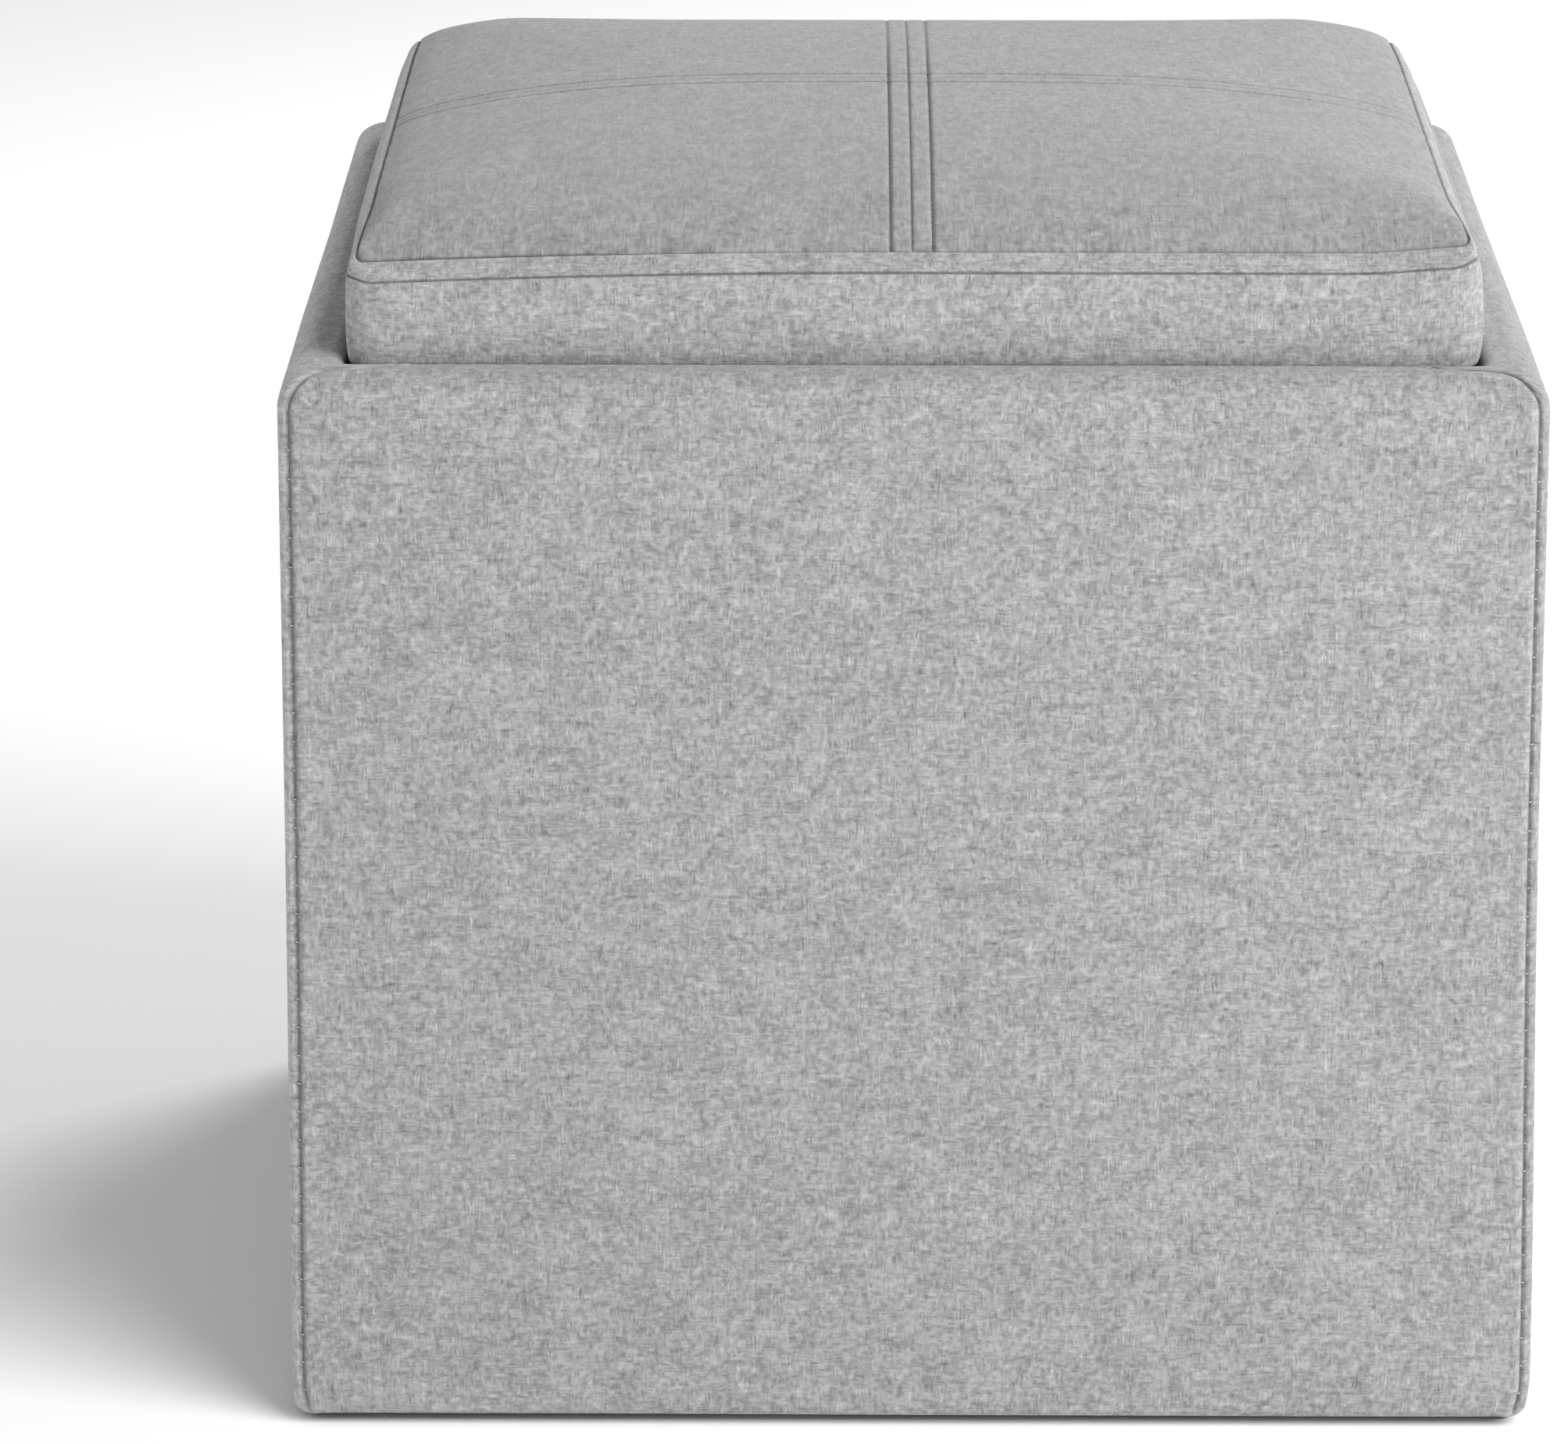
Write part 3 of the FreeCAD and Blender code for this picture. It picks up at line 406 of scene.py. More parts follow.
foamMaterial = foamFinish("paddingFoam")
liningMaterial = spunFinish("storeLining", innerTones["lining"])
dustMaterial = spunFinish("blackDustCloth", innerTones["dust"], 1.9)
hemShadowMaterial = spunFinish("hemShadowCloth", innerTones["hemShadow"], 1.2)
threadMaterial = threadFinish("sewingThread", innerTones["thread"])
knotMaterial = threadFinish("seamKnotThread", innerTones["knot"])
hardFinishes = {
    "fibreboard": boardFinish("wallFibreboard", innerTones["fibreboard"]),
    "plywood": grainFinish("lidPlywood", innerTones["plywood"], (22.0, 2.2, 1.5), 3.4, 0.6),
    "pine": grainFinish("battenPine", innerTones["pine"], (9.0, 9.0, 2.4), 1.7, 0.55),
    "glide_plastic": mouldedFinish("glidePlastic", innerTones["plasticDark"]),
    "zinc_screw": metalFinish("yellowZinc", innerTones["zinc"], 0.26),
    "steel_wire": metalFinish("stapleWire", innerTones["wire"], 0.30),
}


def dressHardParts():
    for part in frame["record"]["subparts"]:
        if part["material_slot"] in hardFinishes:
            for place in bpy.data.objects[part["node"]].material_slots:
                place.material = hardFinishes[part["material_slot"]]


dressHardParts()
print("other finishes made")


# Mesh helpers
def spacedRow(*stops):
    # stops are (place, spacing up to the next place), ending with a bare place
    places = []
    for (start, spacing), following in zip(stops, stops[1:]):
        end = following[0] if isinstance(following, tuple) else following
        count = max(1, int(round(abs(end - start) / spacing)))
        places += [start + (end - start) * step / count for step in range(count)]
    places.append(stops[-1])
    return np.array(places)


def quadFaces(rows, columns, closed):
    # the faces between rows of points; closed joins each row's end to its start
    row, column = np.divmod(np.arange((rows - 1) * columns), columns)
    after = (column + 1) % columns
    faces = np.stack([
        row * columns + column, row * columns + after,
        (row + 1) * columns + after, (row + 1) * columns + column], axis=-1)
    return faces if closed else faces[column < columns - 1]


def gridObject(name, points, cloth, marks, material, closed=False):
    # a sheet of quads, its cloth coordinates, and values that its finish reads at each point
    rows, columns = points.shape[:2]
    data = bpy.data.meshes.new(name)
    faces = quadFaces(rows, columns, closed)
    data.from_pydata(points.reshape(-1, 3).tolist(), [], faces.tolist())
    layer = data.uv_layers.new(name="cloth")
    row, column = np.divmod(faces[:, 0], columns)
    cornerRows = np.stack([row, row, row + 1, row + 1], axis=-1)
    nextColumn = column + 1 if cloth.shape[1] > columns else (column + 1) % columns
    cornerColumns = np.stack([column, nextColumn, nextColumn, column], axis=-1)
    layer.uv.foreach_set("vector", cloth[cornerRows, cornerColumns].astype(np.float32).ravel())
    for mark, values in marks.items():
        attribute = data.attributes.new(mark, "FLOAT", "POINT")
        attribute.data.foreach_set("value", values.astype(np.float32).ravel())
    data.shade_smooth()
    data.materials.append(material)
    return addObject(name, data)


def thickened(piece, thickness, offset=-1.0):
    solid = piece.modifiers.new("thickness", "SOLIDIFY")
    solid.thickness = thickness
    solid.offset = offset
    solid.use_rim = True


def unit(vectors):
    return vectors / np.maximum(np.linalg.norm(vectors, axis=-1, keepdims=True), 1e-12)


def gridNormals(points):
    return unit(np.cross(np.gradient(points, axis=1), np.gradient(points, axis=0)))


def declareCut(points):
    # works out each cell's diagonal cross product, and keeps nothing
    corners = np.cross(points[1:, 1:] - points[:-1, :-1], points[1:, :-1] - points[:-1, 1:])


def searchTree(places):
    tree = KDTree(len(places))
    for index, place in enumerate(places):
        tree.insert(place, index)
    tree.balance()
    return tree


def distanceTo(line, first, second):
    # how far each place lies from a line, both in cloth coordinates
    tree = searchTree([(a, b, 0) for a, b in line])
    found = [tree.find((a, b, 0))[2] for a, b in zip(first.ravel(), second.ravel())]
    return np.array(found).reshape(first.shape)


def smoothStep(value, low, high):
    share = np.clip((value - low) / (high - low), 0, 1)
    return share * share * (3 - 2 * share)


def softNoise(s, t, size, seed):
    # a few crossing waves of about one size
    made = np.random.default_rng(randomSeed + seed)
    total = np.zeros_like(s)
    for number in range(7):
        angle, phase = made.uniform(0, math.tau, 2)
        wave = size * made.uniform(0.7, 1.8)
        total += np.sin((s * math.cos(angle) + t * math.sin(angle)) * math.tau / wave + phase)
    return total / 7


# The box's fabric: one wrapped surface, S round the box and T up its side, over the rim and in
boxSkin = {
    "half": 0.216,
    "hemLevel": 0.0036,
    "rimTop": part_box("cover_front")[1].z + 0.0019,  # the padding swells over the rim
    "seatLevel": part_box("lid_rest_front")[1].z,
    "uprightRound": 0.0065,
    "rimRound": 0.0122,
    "rimInnerRound": 0.004,
    "hemRound": 0.0035,
    "wallThick": 0.0214,
    "hemWidth": 0.030,
    "innerRounds": (0.0042, 0.0024),  # of the uprights, where the rim's flat starts and ends
    "backNarrow": 0.0055,  # the rim draws in a little towards the back
    "narrowHeights": (0.25, 0.37),
    "leftFlare": 0.0008,  # and the foot stands a little wider
    "rightFlare": 0.0024,
    "flareTop": 0.24,
    "leftTuck": 0.0016,  # but the last 2 cm turn in to the hem
    "rightTuck": 0.0030,
    "tuckTop": 0.020,
    "backRise": 0.0016,
    "riseHeights": (0.30, 0.37),
    "waveHeight": 0.00045,  # of the padding, so that no panel is dead flat
    "waveSize": 0.12,
}


def boxProfile(t):
    # inset and height for a length t up the side, from 0 where the rim's round starts; the marks
    # are the fold's inner edge, its round, the wall, the rim's round, flat and inner round, the
    # inside and its end
    s = boxSkin
    roundTop, roundIn, roundHem = s["rimRound"], s["rimInnerRound"], s["hemRound"]
    sideLength = s["rimTop"] - roundTop - s["hemLevel"] - roundHem
    quarter = math.pi / 2
    marks = [
        -sideLength - quarter * roundHem - (s["hemWidth"] - roundHem),
        -sideLength - quarter * roundHem, -sideLength, 0, quarter * roundTop,
        quarter * roundTop + s["wallThick"] - roundTop - roundIn,
    ]
    marks.append(marks[5] + quarter * roundIn)
    marks.append(marks[6] + s["rimTop"] - roundIn - s["seatLevel"])
    t = np.clip(t, marks[0], marks[7])
    hemAngle = (marks[2] - t) / roundHem
    topAngle = t / roundTop
    inAngle = (t - marks[5]) / roundIn
    regions = [t < mark for mark in marks[1:7]]
    inset = np.select(
        regions,
        [roundHem + marks[1] - t, roundHem * (1 - np.cos(hemAngle)), 0 * t,
         roundTop * (1 - np.cos(topAngle)), roundTop + t - marks[4],
         s["wallThick"] - roundIn + roundIn * np.sin(inAngle)],
        s["wallThick"])
    height = np.select(
        regions,
        [s["hemLevel"] + 0 * t, s["hemLevel"] + roundHem * (1 - np.sin(hemAngle)),
         s["rimTop"] - roundTop + t, s["rimTop"] - roundTop + roundTop * np.sin(topAngle),
         s["rimTop"] + 0 * t, s["rimTop"] - roundIn + roundIn * np.cos(inAngle)],
        s["rimTop"] - roundIn - (t - marks[6]))
    return inset, height, marks


def uprightCorner(inset):
    rounds = [boxSkin["uprightRound"], *boxSkin["innerRounds"]]
    return np.interp(inset, [0, 0.011, boxSkin["wallThick"]], rounds)


straightOut = boxSkin["half"] - boxSkin["uprightRound"]
sideSpan = 2 * straightOut + boxSkin["uprightRound"] * math.pi / 2
profileMarks = boxProfile(np.zeros(1))[2]


def boxSurface(s, t):
    # s runs round the box: 0 at the middle of the front, and a side's length on for the next side
    half = boxSkin["half"]
    inset, height, _ = boxProfile(t)
    corner = uprightCorner(inset)
    side = np.floor(s / sideSpan + 0.5)
    local = s - side * sideSpan
    straight = half - inset - corner
    angle = np.clip((np.abs(local) - straightOut) / boxSkin["uprightRound"], 0, math.pi / 4)
    beyond = np.abs(local) > straightOut
    rounded = np.sign(local) * (straight + corner * np.sin(angle))
    x = np.where(beyond, rounded, local * straight / straightOut)
    y = np.where(beyond, -(straight + corner * np.cos(angle)), -(half - inset))
    turn = side * math.pi / 2
    x, y = x * np.cos(turn) - y * np.sin(turn), x * np.sin(turn) + y * np.cos(turn)
    foot = smoothStep(-height, -boxSkin["flareTop"], 0.0) / half
    tuck = np.clip(1 - height / boxSkin["tuckTop"], 0, 1) ** 2 / half
    x = x + foot * np.where(x > 0, boxSkin["rightFlare"], boxSkin["leftFlare"]) * x
    x = x - tuck * np.where(x > 0, boxSkin["rightTuck"], boxSkin["leftTuck"]) * x
    back = np.clip((y + 0.1) / (half + 0.1), 0, 1) * smoothStep(height, *boxSkin["narrowHeights"])
    rise = boxSkin["backRise"] * smoothStep(y, 0.08, 0.20) * smoothStep(height, *boxSkin["riseHeights"])
    return np.stack([x * (1 - boxSkin["backNarrow"] * back), y, height + rise], axis=-1)


# The front and back panels end at a seam 3 mm in from the side, that rounds over the rim
frontSeam = {
    "path": [  # (T, half width at that T), in metres
        (-0.50, 0.2106), (-0.3668, 0.2108), (-0.3600, 0.2114), (-0.352, 0.2124), (0.0005, 0.2125),
        (0.0060, 0.2121), (0.0100, 0.2114), (0.0130, 0.2106), (0.0152, 0.2092), (0.0168, 0.2070),
        (0.0178, 0.2045), (0.0184, 0.2015), (0.0188, 0.1980), (0.0191, 0.1940), (0.0197, 0.1906),
        (0.0212, 0.1886), (0.060, 0.1880)],
    "widest": 0.2125,
    "bendWidth": 0.030,  # the threads beside a seam bend along with it
    "grooveDepth": 0.0012,
    "grooveWidth": 0.00075,
    "leftSlack": 1.3,  # the left seams are sewn looser
    # tone and leftTone set the darkness of the painted seam shade
    "tone": 0.42,
    "leftTone": 0.15,
    "lineScale": 0.62,  # a thinner line than the lid's
    "swell": 0.00028,
    "swellPlace": 0.0028,
    "swellWidth": 0.0016,
    "allowance": 0.0024,
    "allowanceDrop": 0.0011,
}


def seamHalfWidth(t):
    table = np.array(frontSeam["path"])
    return np.interp(t, table[:, 0], table[:, 1])


def coverRows():
    m = profileMarks  # with finer rows where the cloth bends
    return spacedRow(
        (m[0], 0.005), (m[1], 0.0009), (m[2], 0.0015), (m[2] + 0.012, 0.007), (-0.02, 0.0035),
        (-0.004, 0.0009), (0.014, 0.0003), (0.0195, 0.0006), (m[5], 0.0006), (m[6], 0.003), m[7])


def coverColumns(halfWidth):
    edge = np.array([
        0.014, 0.010, 0.0072, 0.0052, 0.0038, 0.0028, 0.0021, 0.0016, 0.0012, 0.0009, 0.0006, 0.0003, 0.0])
    inner = spacedRow((0.0, 0.0065), halfWidth - 0.018)
    right = np.concatenate([inner, halfWidth - edge])
    return np.concatenate([-right[:0:-1], right])


def seamPath():
    t = np.concatenate([np.arange(-0.36, 0.0, 0.0006), np.arange(0.0, 0.024, 0.00004)])
    return np.stack([seamHalfWidth(t), t], axis=-1)


frontSeamPath = seamPath()


def clothAcross(local, t):
    # how far round the cloth really lies, since the rim is shorter than the wall below it
    reach, inset = np.abs(local), boxProfile(t)[0]
    corner = uprightCorner(inset)
    straight = boxSkin["half"] - inset - corner
    beyond = straight + (reach - straightOut) * corner / boxSkin["uprightRound"]
    return np.sign(local) * np.where(reach < straightOut, reach * straight / straightOut, beyond)


def coverPanel(name, side, node, material):
    seam = frontSeam
    isEnd = side % 2 == 0  # front and back
    rows = coverRows()
    widest = seam["widest"] if isEnd else sideSpan - seam["widest"]
    base = coverColumns(widest)
    if not isEnd:  # the side panels' seam allowance runs on under the end panels
        under = widest + seam["allowance"] * np.array([0.5, 1.0])
        base = np.concatenate([-under[::-1], base, under])
    t = np.repeat(rows[:, None], len(base), axis=1)
    edge = seamHalfWidth(rows) if isEnd else sideSpan - seamHalfWidth(rows)
    bend = widest - seam["bendWidth"]
    reach = np.abs(base)
    drawn = bend + (reach - bend) * ((edge - bend) / (widest - bend))[:, None]
    local = np.where(reach > bend, np.sign(base) * drawn, base)
    s = local + side * sideSpan
    points = boxSurface(s, t)
    normals = gridNormals(points)
    normals *= np.sign(np.sum(normals[len(rows) // 2] * points[len(rows) // 2] * [1, 1, 0]))
    halfSide = np.abs(local) if isEnd else sideSpan - np.abs(local)
    gap = distanceTo(frontSeamPath, halfSide, t)
    isLeft = points[..., 0] < 0
    slack = np.where(isLeft, seam["leftSlack"], 1.0)
    groove = seam["grooveDepth"] * np.exp(-(gap / seam["grooveWidth"] / slack) ** 2)
    tucked = np.clip((reach - widest) / seam["allowance"], 0, 1)[None, :]
    groove = np.where(tucked > 0, seam["grooveDepth"] + seam["allowanceDrop"] * tucked, groove)
    lift = seam["swell"] * np.exp(-((gap - seam["swellPlace"]) / seam["swellWidth"]) ** 2) * (tucked == 0)
    calm = np.clip(gap / 0.02, 0, 1) * np.clip((0.02 - t) / 0.03, 0, 1)
    waves = boxSkin["waveHeight"] * softNoise(s, t, boxSkin["waveSize"], side) * calm
    points = points + normals * (lift + waves - groove)[..., None]
    drift = np.array([0.317, 0.113]) * (side + 1)  # each panel is cut from another part of the cloth
    cloth = np.stack([clothAcross(local, t) + drift[0], t + drift[1]], axis=-1)
    marks = {
        "seamDistance": gap * seam["lineScale"],
        "seamTone": np.where(isLeft, seam["leftTone"], seam["tone"])}
    piece = gridObject(name, points, cloth, marks, material)
    thickened(piece, linen["thickness"])
    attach(piece, "box")
    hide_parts(node)
    declareCut(points)
    return piece


coverPieces = [
    coverPanel("frontCover", 0, "cover_front", linenMaterial),
    coverPanel("rightCover", 1, "cover_right", linenRightPaintedShadeMaterial),
    coverPanel("backCover", 2, "cover_back", linenMaterial),
    coverPanel("leftCover", 3, "cover_left", linenLeftPaintedLightMaterial),
]
print("box covers made")


# The lid's cushion: rings of a round-cornered square, one shape from board to crown
lidForm = {
    "seamHalf": 0.193,
    "footHalf": 0.1916,
    "seamRound": 0.0092,
    "roundGrowth": 0.3,  # the outline turns rounder inwards
    "crownGrowth": 0.05,
    "crownDepth": 0.085,
    "cornerBulge": 0.0012,
    "rightCornerBulge": 0.0016,
    "sideBulge": 0.0018,
    "rightBulge": 0.0042,
    "frontBulge": 0.0036,
    "foot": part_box("lid_boxing")[0].z,
    "rim": boxSkin["rimTop"],
    "border": 0.008,  # the panels' edge strip, outside the topstitch
    "sideBorder": 0.0056,
    "cornerBorder": 0.0030,
    "shift": -0.0005,  # the cushion was stitched a little to the left
    "drawnFrom": 0.13,  # from here out, the panels are drawn over the narrower borders
    "leftDroop": 0.0039,  # the near left corner hangs, the near right one stands up
    "leftSpan": 0.188,
    "rightLift": 0.0026,
    "rightZone": (0.15, 0.197),
    "nearZone": (0.10, 0.19),
    "backDroop": 0.0034,
    "frontFace": (0.181, 0.191),
    "rightFace": (0.181, 0.1925),
    "ridge": 0.0004,
    "ridgeWidth": 0.002,
    # how far in from the seam, and the height there: sides and back, then front
    "sideRise": [
        (0, 411.4), (0.5, 414.0), (1.2, 416.4), (2.2, 418.0), (3.6, 419.6), (5.5, 421.2), (9, 423.6),
        (13.2, 426.0), (24.4, 429.0), (46, 432.6), (66, 435.0), (83, 436.7), (107, 438.2), (140, 438.9),
        (193, 439.2)],
    "frontRise": [
        (0, 410.1), (4, 413.1), (8, 415.9), (13, 418.4), (24, 422.2), (46, 427.4), (66, 431.2),
        (83, 434.0), (107, 436.8), (140, 440.0), (193, 442.0)],
}


def ringPoint(half, corner, u, side):
    # u runs -1 to 1 along a side; the corner's middle is at 1
    half, corner, u, side = np.broadcast_arrays(half, corner, u, side)
    window = np.minimum(3 * lidForm["seamRound"], half)
    reach = np.abs(u) * half
    start = half - window
    turned = window - corner + corner * math.pi / 4
    step = (reach - start) / np.maximum(window, 1e-9) * turned
    angle = np.clip((step - (window - corner)) / np.maximum(corner, 1e-9), 0, math.pi / 4)
    near, arc = reach <= start, step > window - corner
    across = np.where(near, reach, np.where(arc, half - corner + corner * np.sin(angle), start + step))
    outward = np.where(near | ~arc, half, half - corner + corner * np.cos(angle))
    across = across * np.sign(u)
    turn = side * math.pi / 2
    x = across * np.cos(turn) + outward * np.sin(turn)
    y = across * np.sin(turn) - outward * np.cos(turn)
    return x, y


def bySide(side, front, right, back, left):
    return np.select([side == 0, side == 1, side == 2], [front, right, back], left)


def riseTable(points):
    # evened out, so no crease shows where the listed heights meet
    reach = np.linspace(0, 0.2, 401)
    heights = np.interp(reach * 1000, *zip(*points)) / 1000
    for _ in range(12):
        inner = (heights[:-2] + heights[1:-1] + heights[2:]) / 3
        share = np.clip(reach[1:-1] / 0.004, 0, 1)
        heights[1:-1] += (inner - heights[1:-1]) * share
    return reach, heights


sideRise, frontRise = riseTable(lidForm["sideRise"]), riseTable(lidForm["frontRise"])


def depthInside(x, y):
    # how far inside the seam a point is, on rounded squares that turn rounder inwards
    low, high = np.zeros_like(x), np.full_like(x, lidForm["seamHalf"])
    for _ in range(26):
        depth = (low + high) / 2
        half = lidForm["seamHalf"] - depth
        corner = lidForm["seamRound"] + lidForm["roundGrowth"] * depth
        corner += lidForm["crownGrowth"] * (depth / lidForm["crownDepth"]) ** 3
        corner = np.minimum(corner, half)
        across, along = np.abs(x) - half + corner, np.abs(y) - half + corner
        outside = np.hypot(np.maximum(across, 0), np.maximum(along, 0))
        beyond = outside + np.minimum(np.maximum(across, along), 0) > corner
        high = np.where(beyond, depth, high)
        low = np.where(beyond, low, depth)
    return (low + high) / 2


def crownHeight(x, y):
    # the lower of the side and front slopes, with a rounded ridge where they meet
    form = lidForm
    side = np.interp(depthInside(x, y), *sideRise)
    front = np.interp(form["seamHalf"] + y, *frontRise)
    tilt = form["rightLift"] * smoothStep(x, *form["rightZone"])
    tilt = tilt - form["leftDroop"] * (np.maximum(-x, 0) / form["leftSpan"]) ** 2
    tilt = smoothStep(-y, *form["nearZone"]) * tilt
    side, front = side + tilt, front + tilt
    farCorner = smoothStep(y, 0.12, form["seamHalf"]) * smoothStep(np.abs(x), 0.14, form["seamHalf"]) ** 1.5
    side = side - form["backDroop"] * farCorner
    gap = np.clip(np.abs(side - front) / form["ridgeWidth"], 0, 1)
    return np.minimum(side, front) - form["ridge"] * (1 - gap) ** 2


def lidTop(a, b):
    # a and b run -1 to 1 over the square; gives points on the crown
    form = lidForm
    most = np.maximum(np.maximum(np.abs(a), np.abs(b)), 1e-9)
    depth = (1 - most) * form["seamHalf"]
    half = form["seamHalf"] - depth
    corner = np.maximum(form["seamRound"] - 0.75 * depth, 0)
    side = np.where(np.abs(b) >= np.abs(a), np.where(b < 0, 0, 2), np.where(a > 0, 1, 3))
    u = bySide(side, a, b, -a, -b) / most
    x, y = ringPoint(half, corner, u, side)
    # the border is narrower at the sides and back, where it falls away
    narrow = form["border"] - form["sideBorder"]
    stitch = form["seamHalf"] - form["border"]

    def drawnOut(place, amount):
        share = smoothStep(np.abs(place), form["drawnFrom"], stitch) * np.clip(depth / form["border"], 0, 1)
        return place + np.sign(place) * amount * share

    extra = (form["sideBorder"] - form["cornerBorder"]) * smoothStep(-y, 0.12, 0.184)
    x, y = drawnOut(x, narrow + extra), np.where(y > 0, drawnOut(y, narrow), y)
    return np.stack([x, y, crownHeight(x, y)], axis=-1)


def ringToSquare(u, side, depth):
    # places on the square at a depth inside the seam, for u along one of the ring's sides
    reach = 1 - depth / lidForm["seamHalf"] + 0 * u
    along = u * reach
    return bySide(side, along, reach, -along, -reach), bySide(side, -reach, along, reach, -along)


def boxingSide(u, side, share):
    # share 0 at the foot of the swell, 1 at the seam
    form = lidForm
    start = form["rim"] - 0.003
    x, y = ringPoint(form["seamHalf"], form["seamRound"], u, side)
    top = crownHeight(x, y)
    isFront = smoothStep(-y, *form["frontFace"])
    middle = 1 - np.minimum(np.abs(x), np.abs(y)) ** 6 / form["seamHalf"] ** 6  # corners swell least
    isRight = smoothStep(x, *form["rightFace"])
    most = form["sideBulge"] + (form["frontBulge"] - form["sideBulge"]) * isFront
    most = most + (form["rightBulge"] - form["sideBulge"]) * isRight
    least = form["cornerBulge"] + form["rightCornerBulge"] * isRight
    bulge = least + (most - least) * np.maximum(middle, 0)
    out = (form["seamHalf"] - form["footHalf"]) * share
    out = out + bulge * np.sin(math.pi * np.clip(share, 0, 1) ** 0.6) ** 0.6
    half = form["footHalf"] + out
    corner = form["seamRound"] + (half - form["seamHalf"]) * 0.8
    x, y = ringPoint(half, corner, u, side)
    z = start + share * (top - start)
    return np.stack([x, y, z], axis=-1)


def loopStations():
    # places once round the lid, closer together at the corners
    span = lidForm["seamHalf"]
    reach = spacedRow((0.0, 0.005), (span - 0.045, 0.0035), (span - 0.034, 0.001), span) / span
    one = np.concatenate([-reach[:0:-1], reach[:-1]])
    return np.tile(one, 4), np.repeat(np.arange(4), len(one))


# The pad inside: a closed form a little under the fabric, blown up by cloth simulation
padForm = {
    "under": 0.0048,  # starts this far inside the fabric
    "voxel": 0.005,
    "heldFoot": 0.004,  # the glued foot and the seam's ring stay put
    "heldRing": 0.012,
    "heldDrop": 0.0045,
    "cloth": {
        "quality": 6,
        "mass": 0.3,
        "tension_stiffness": 12,
        "compression_stiffness": 12,
        "bending_stiffness": 1.5,
        "use_pressure": True,
        "uniform_pressure_force": 4.0,
    },
    "frames": 20,
    "mostMove": 0.0035,
    "evened": 90,  # smoothing passes that find the general swell
}


def padMesh():
    u, side = loopStations()
    rows = []
    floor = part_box("lid_foam")[0].z + 0.0002
    under = padForm["under"]
    for scale in (0.02, 0.3, 0.6, 0.85, 0.985):
        half, corner = (lidForm["footHalf"] - under) * scale, lidForm["seamRound"] * 0.6 * scale
        x, y = ringPoint(half, corner, u, side)
        rows.append(np.stack([x, y, np.full_like(x, floor)], axis=-1))
    for share in np.linspace(0.0, 1.0, 12):
        points = boxingSide(u, side, np.full_like(u, share))
        points[:, :2] -= 1.2 * under * unit(points[:, :2])
        points[:, 2] = np.maximum(points[:, 2] - under * share, floor + 0.0015)
        rows.append(points)
    for depth in spacedRow((0.004, 0.004), (0.03, 0.010), 0.1945):
        a, b = ringToSquare(u, side, np.full_like(u, depth))
        points = lidTop(a, b)
        points[:, 2] -= under
        rows.append(points)
    points = np.stack(rows)
    count = points.shape[1]
    ends = [points[-1].mean(0).tolist(), points[0].mean(0).tolist()]
    faces = quadFaces(len(rows), count, True).tolist()
    last, total = (len(rows) - 1) * count, len(rows) * count
    for column in range(count):  # fans close the crown and the base
        after = (column + 1) % count
        faces.append((last + column, last + after, total))
        faces.append((after, column, total + 1))
    data = bpy.data.meshes.new("lidPad")
    data.from_pydata(points.reshape(-1, 3).tolist() + ends, [], faces)
    return data


def meshPoints(data):
    values = np.empty(len(data.vertices) * 3, np.float32)
    data.vertices.foreach_get("co", values)
    return values.reshape(-1, 3).astype(float)


def appliedMesh(piece):
    graph = bpy.context.evaluated_depsgraph_get()
    made = bpy.data.meshes.new_from_object(piece.evaluated_get(graph))
    piece.modifiers.clear()
    piece.data = made
    return made


def addPad():
    piece = addObject("lidPad", padMesh())
    remesh = piece.modifiers.new("remesh", "REMESH")
    remesh.mode = "VOXEL"
    remesh.voxel_size = padForm["voxel"]
    data = appliedMesh(piece)
    before = meshPoints(data)
    heights = crownHeight(before[:, 0], before[:, 1]) - padForm["under"]
    inRing = np.abs(before[:, :2]).max(axis=1) > lidForm["seamHalf"] - padForm["heldRing"]
    held = before[:, 2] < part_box("lid_foam")[0].z + padForm["heldFoot"]
    held |= inRing & (np.abs(before[:, 2] - heights) < padForm["heldDrop"])
    moved = before
    group = piece.vertex_groups.new(name="held")
    group.add(np.nonzero(held)[0].tolist(), 1.0, "REPLACE")
    cloth = piece.modifiers.new("inflate", "CLOTH")
    for name, value in padForm["cloth"].items():
        setattr(cloth.settings, name, value)
    cloth.settings.vertex_group_mass = "held"
    cloth.settings.effector_weights.gravity = 0
    cloth.collision_settings.use_collision = False
    for number in range(1, padForm["frames"] + 1):
        bpy.context.scene.frame_set(number)
    moved = meshPoints(appliedMesh(piece))
    bpy.context.scene.frame_set(1)
    move = moved - before
    length = np.linalg.norm(move, axis=1, keepdims=True)
    move *= np.minimum(1, padForm["mostMove"] / np.maximum(length, 1e-9))
    data = piece.data
    normals = np.empty(len(before) * 3, np.float32)
    data.vertices.foreach_get("normal", normals)
    puff = np.sum(move * normals.reshape(-1, 3), axis=1)
    data.vertices.foreach_set("co", (before + move).astype(np.float32).ravel())
    data.update()
    data.shade_smooth()
    smooth = piece.modifiers.new("smooth", "SUBSURF")
    smooth.levels = smooth.render_levels = 1
    ends = np.empty(len(data.edges) * 2, np.int32)
    data.edges.foreach_get("vertices", ends)
    first, second = ends.reshape(-1, 2).T
    joined = np.bincount(ends, minlength=len(before))
    swell = puff
    for _ in range(padForm["evened"]):
        around = np.bincount(first, swell[second], len(before))
        around += np.bincount(second, swell[first], len(before))
        swell = (swell + around) / (joined + 1)
    print("lid pad:", len(before), "points, moved up to %.1f mm, fine part %.2f mm" % (
        1000 * length.max(), 1000 * (puff - swell).std()))
    return piece, searchTree(before), puff - swell


lidPad, padTree, padRipple = addPad()


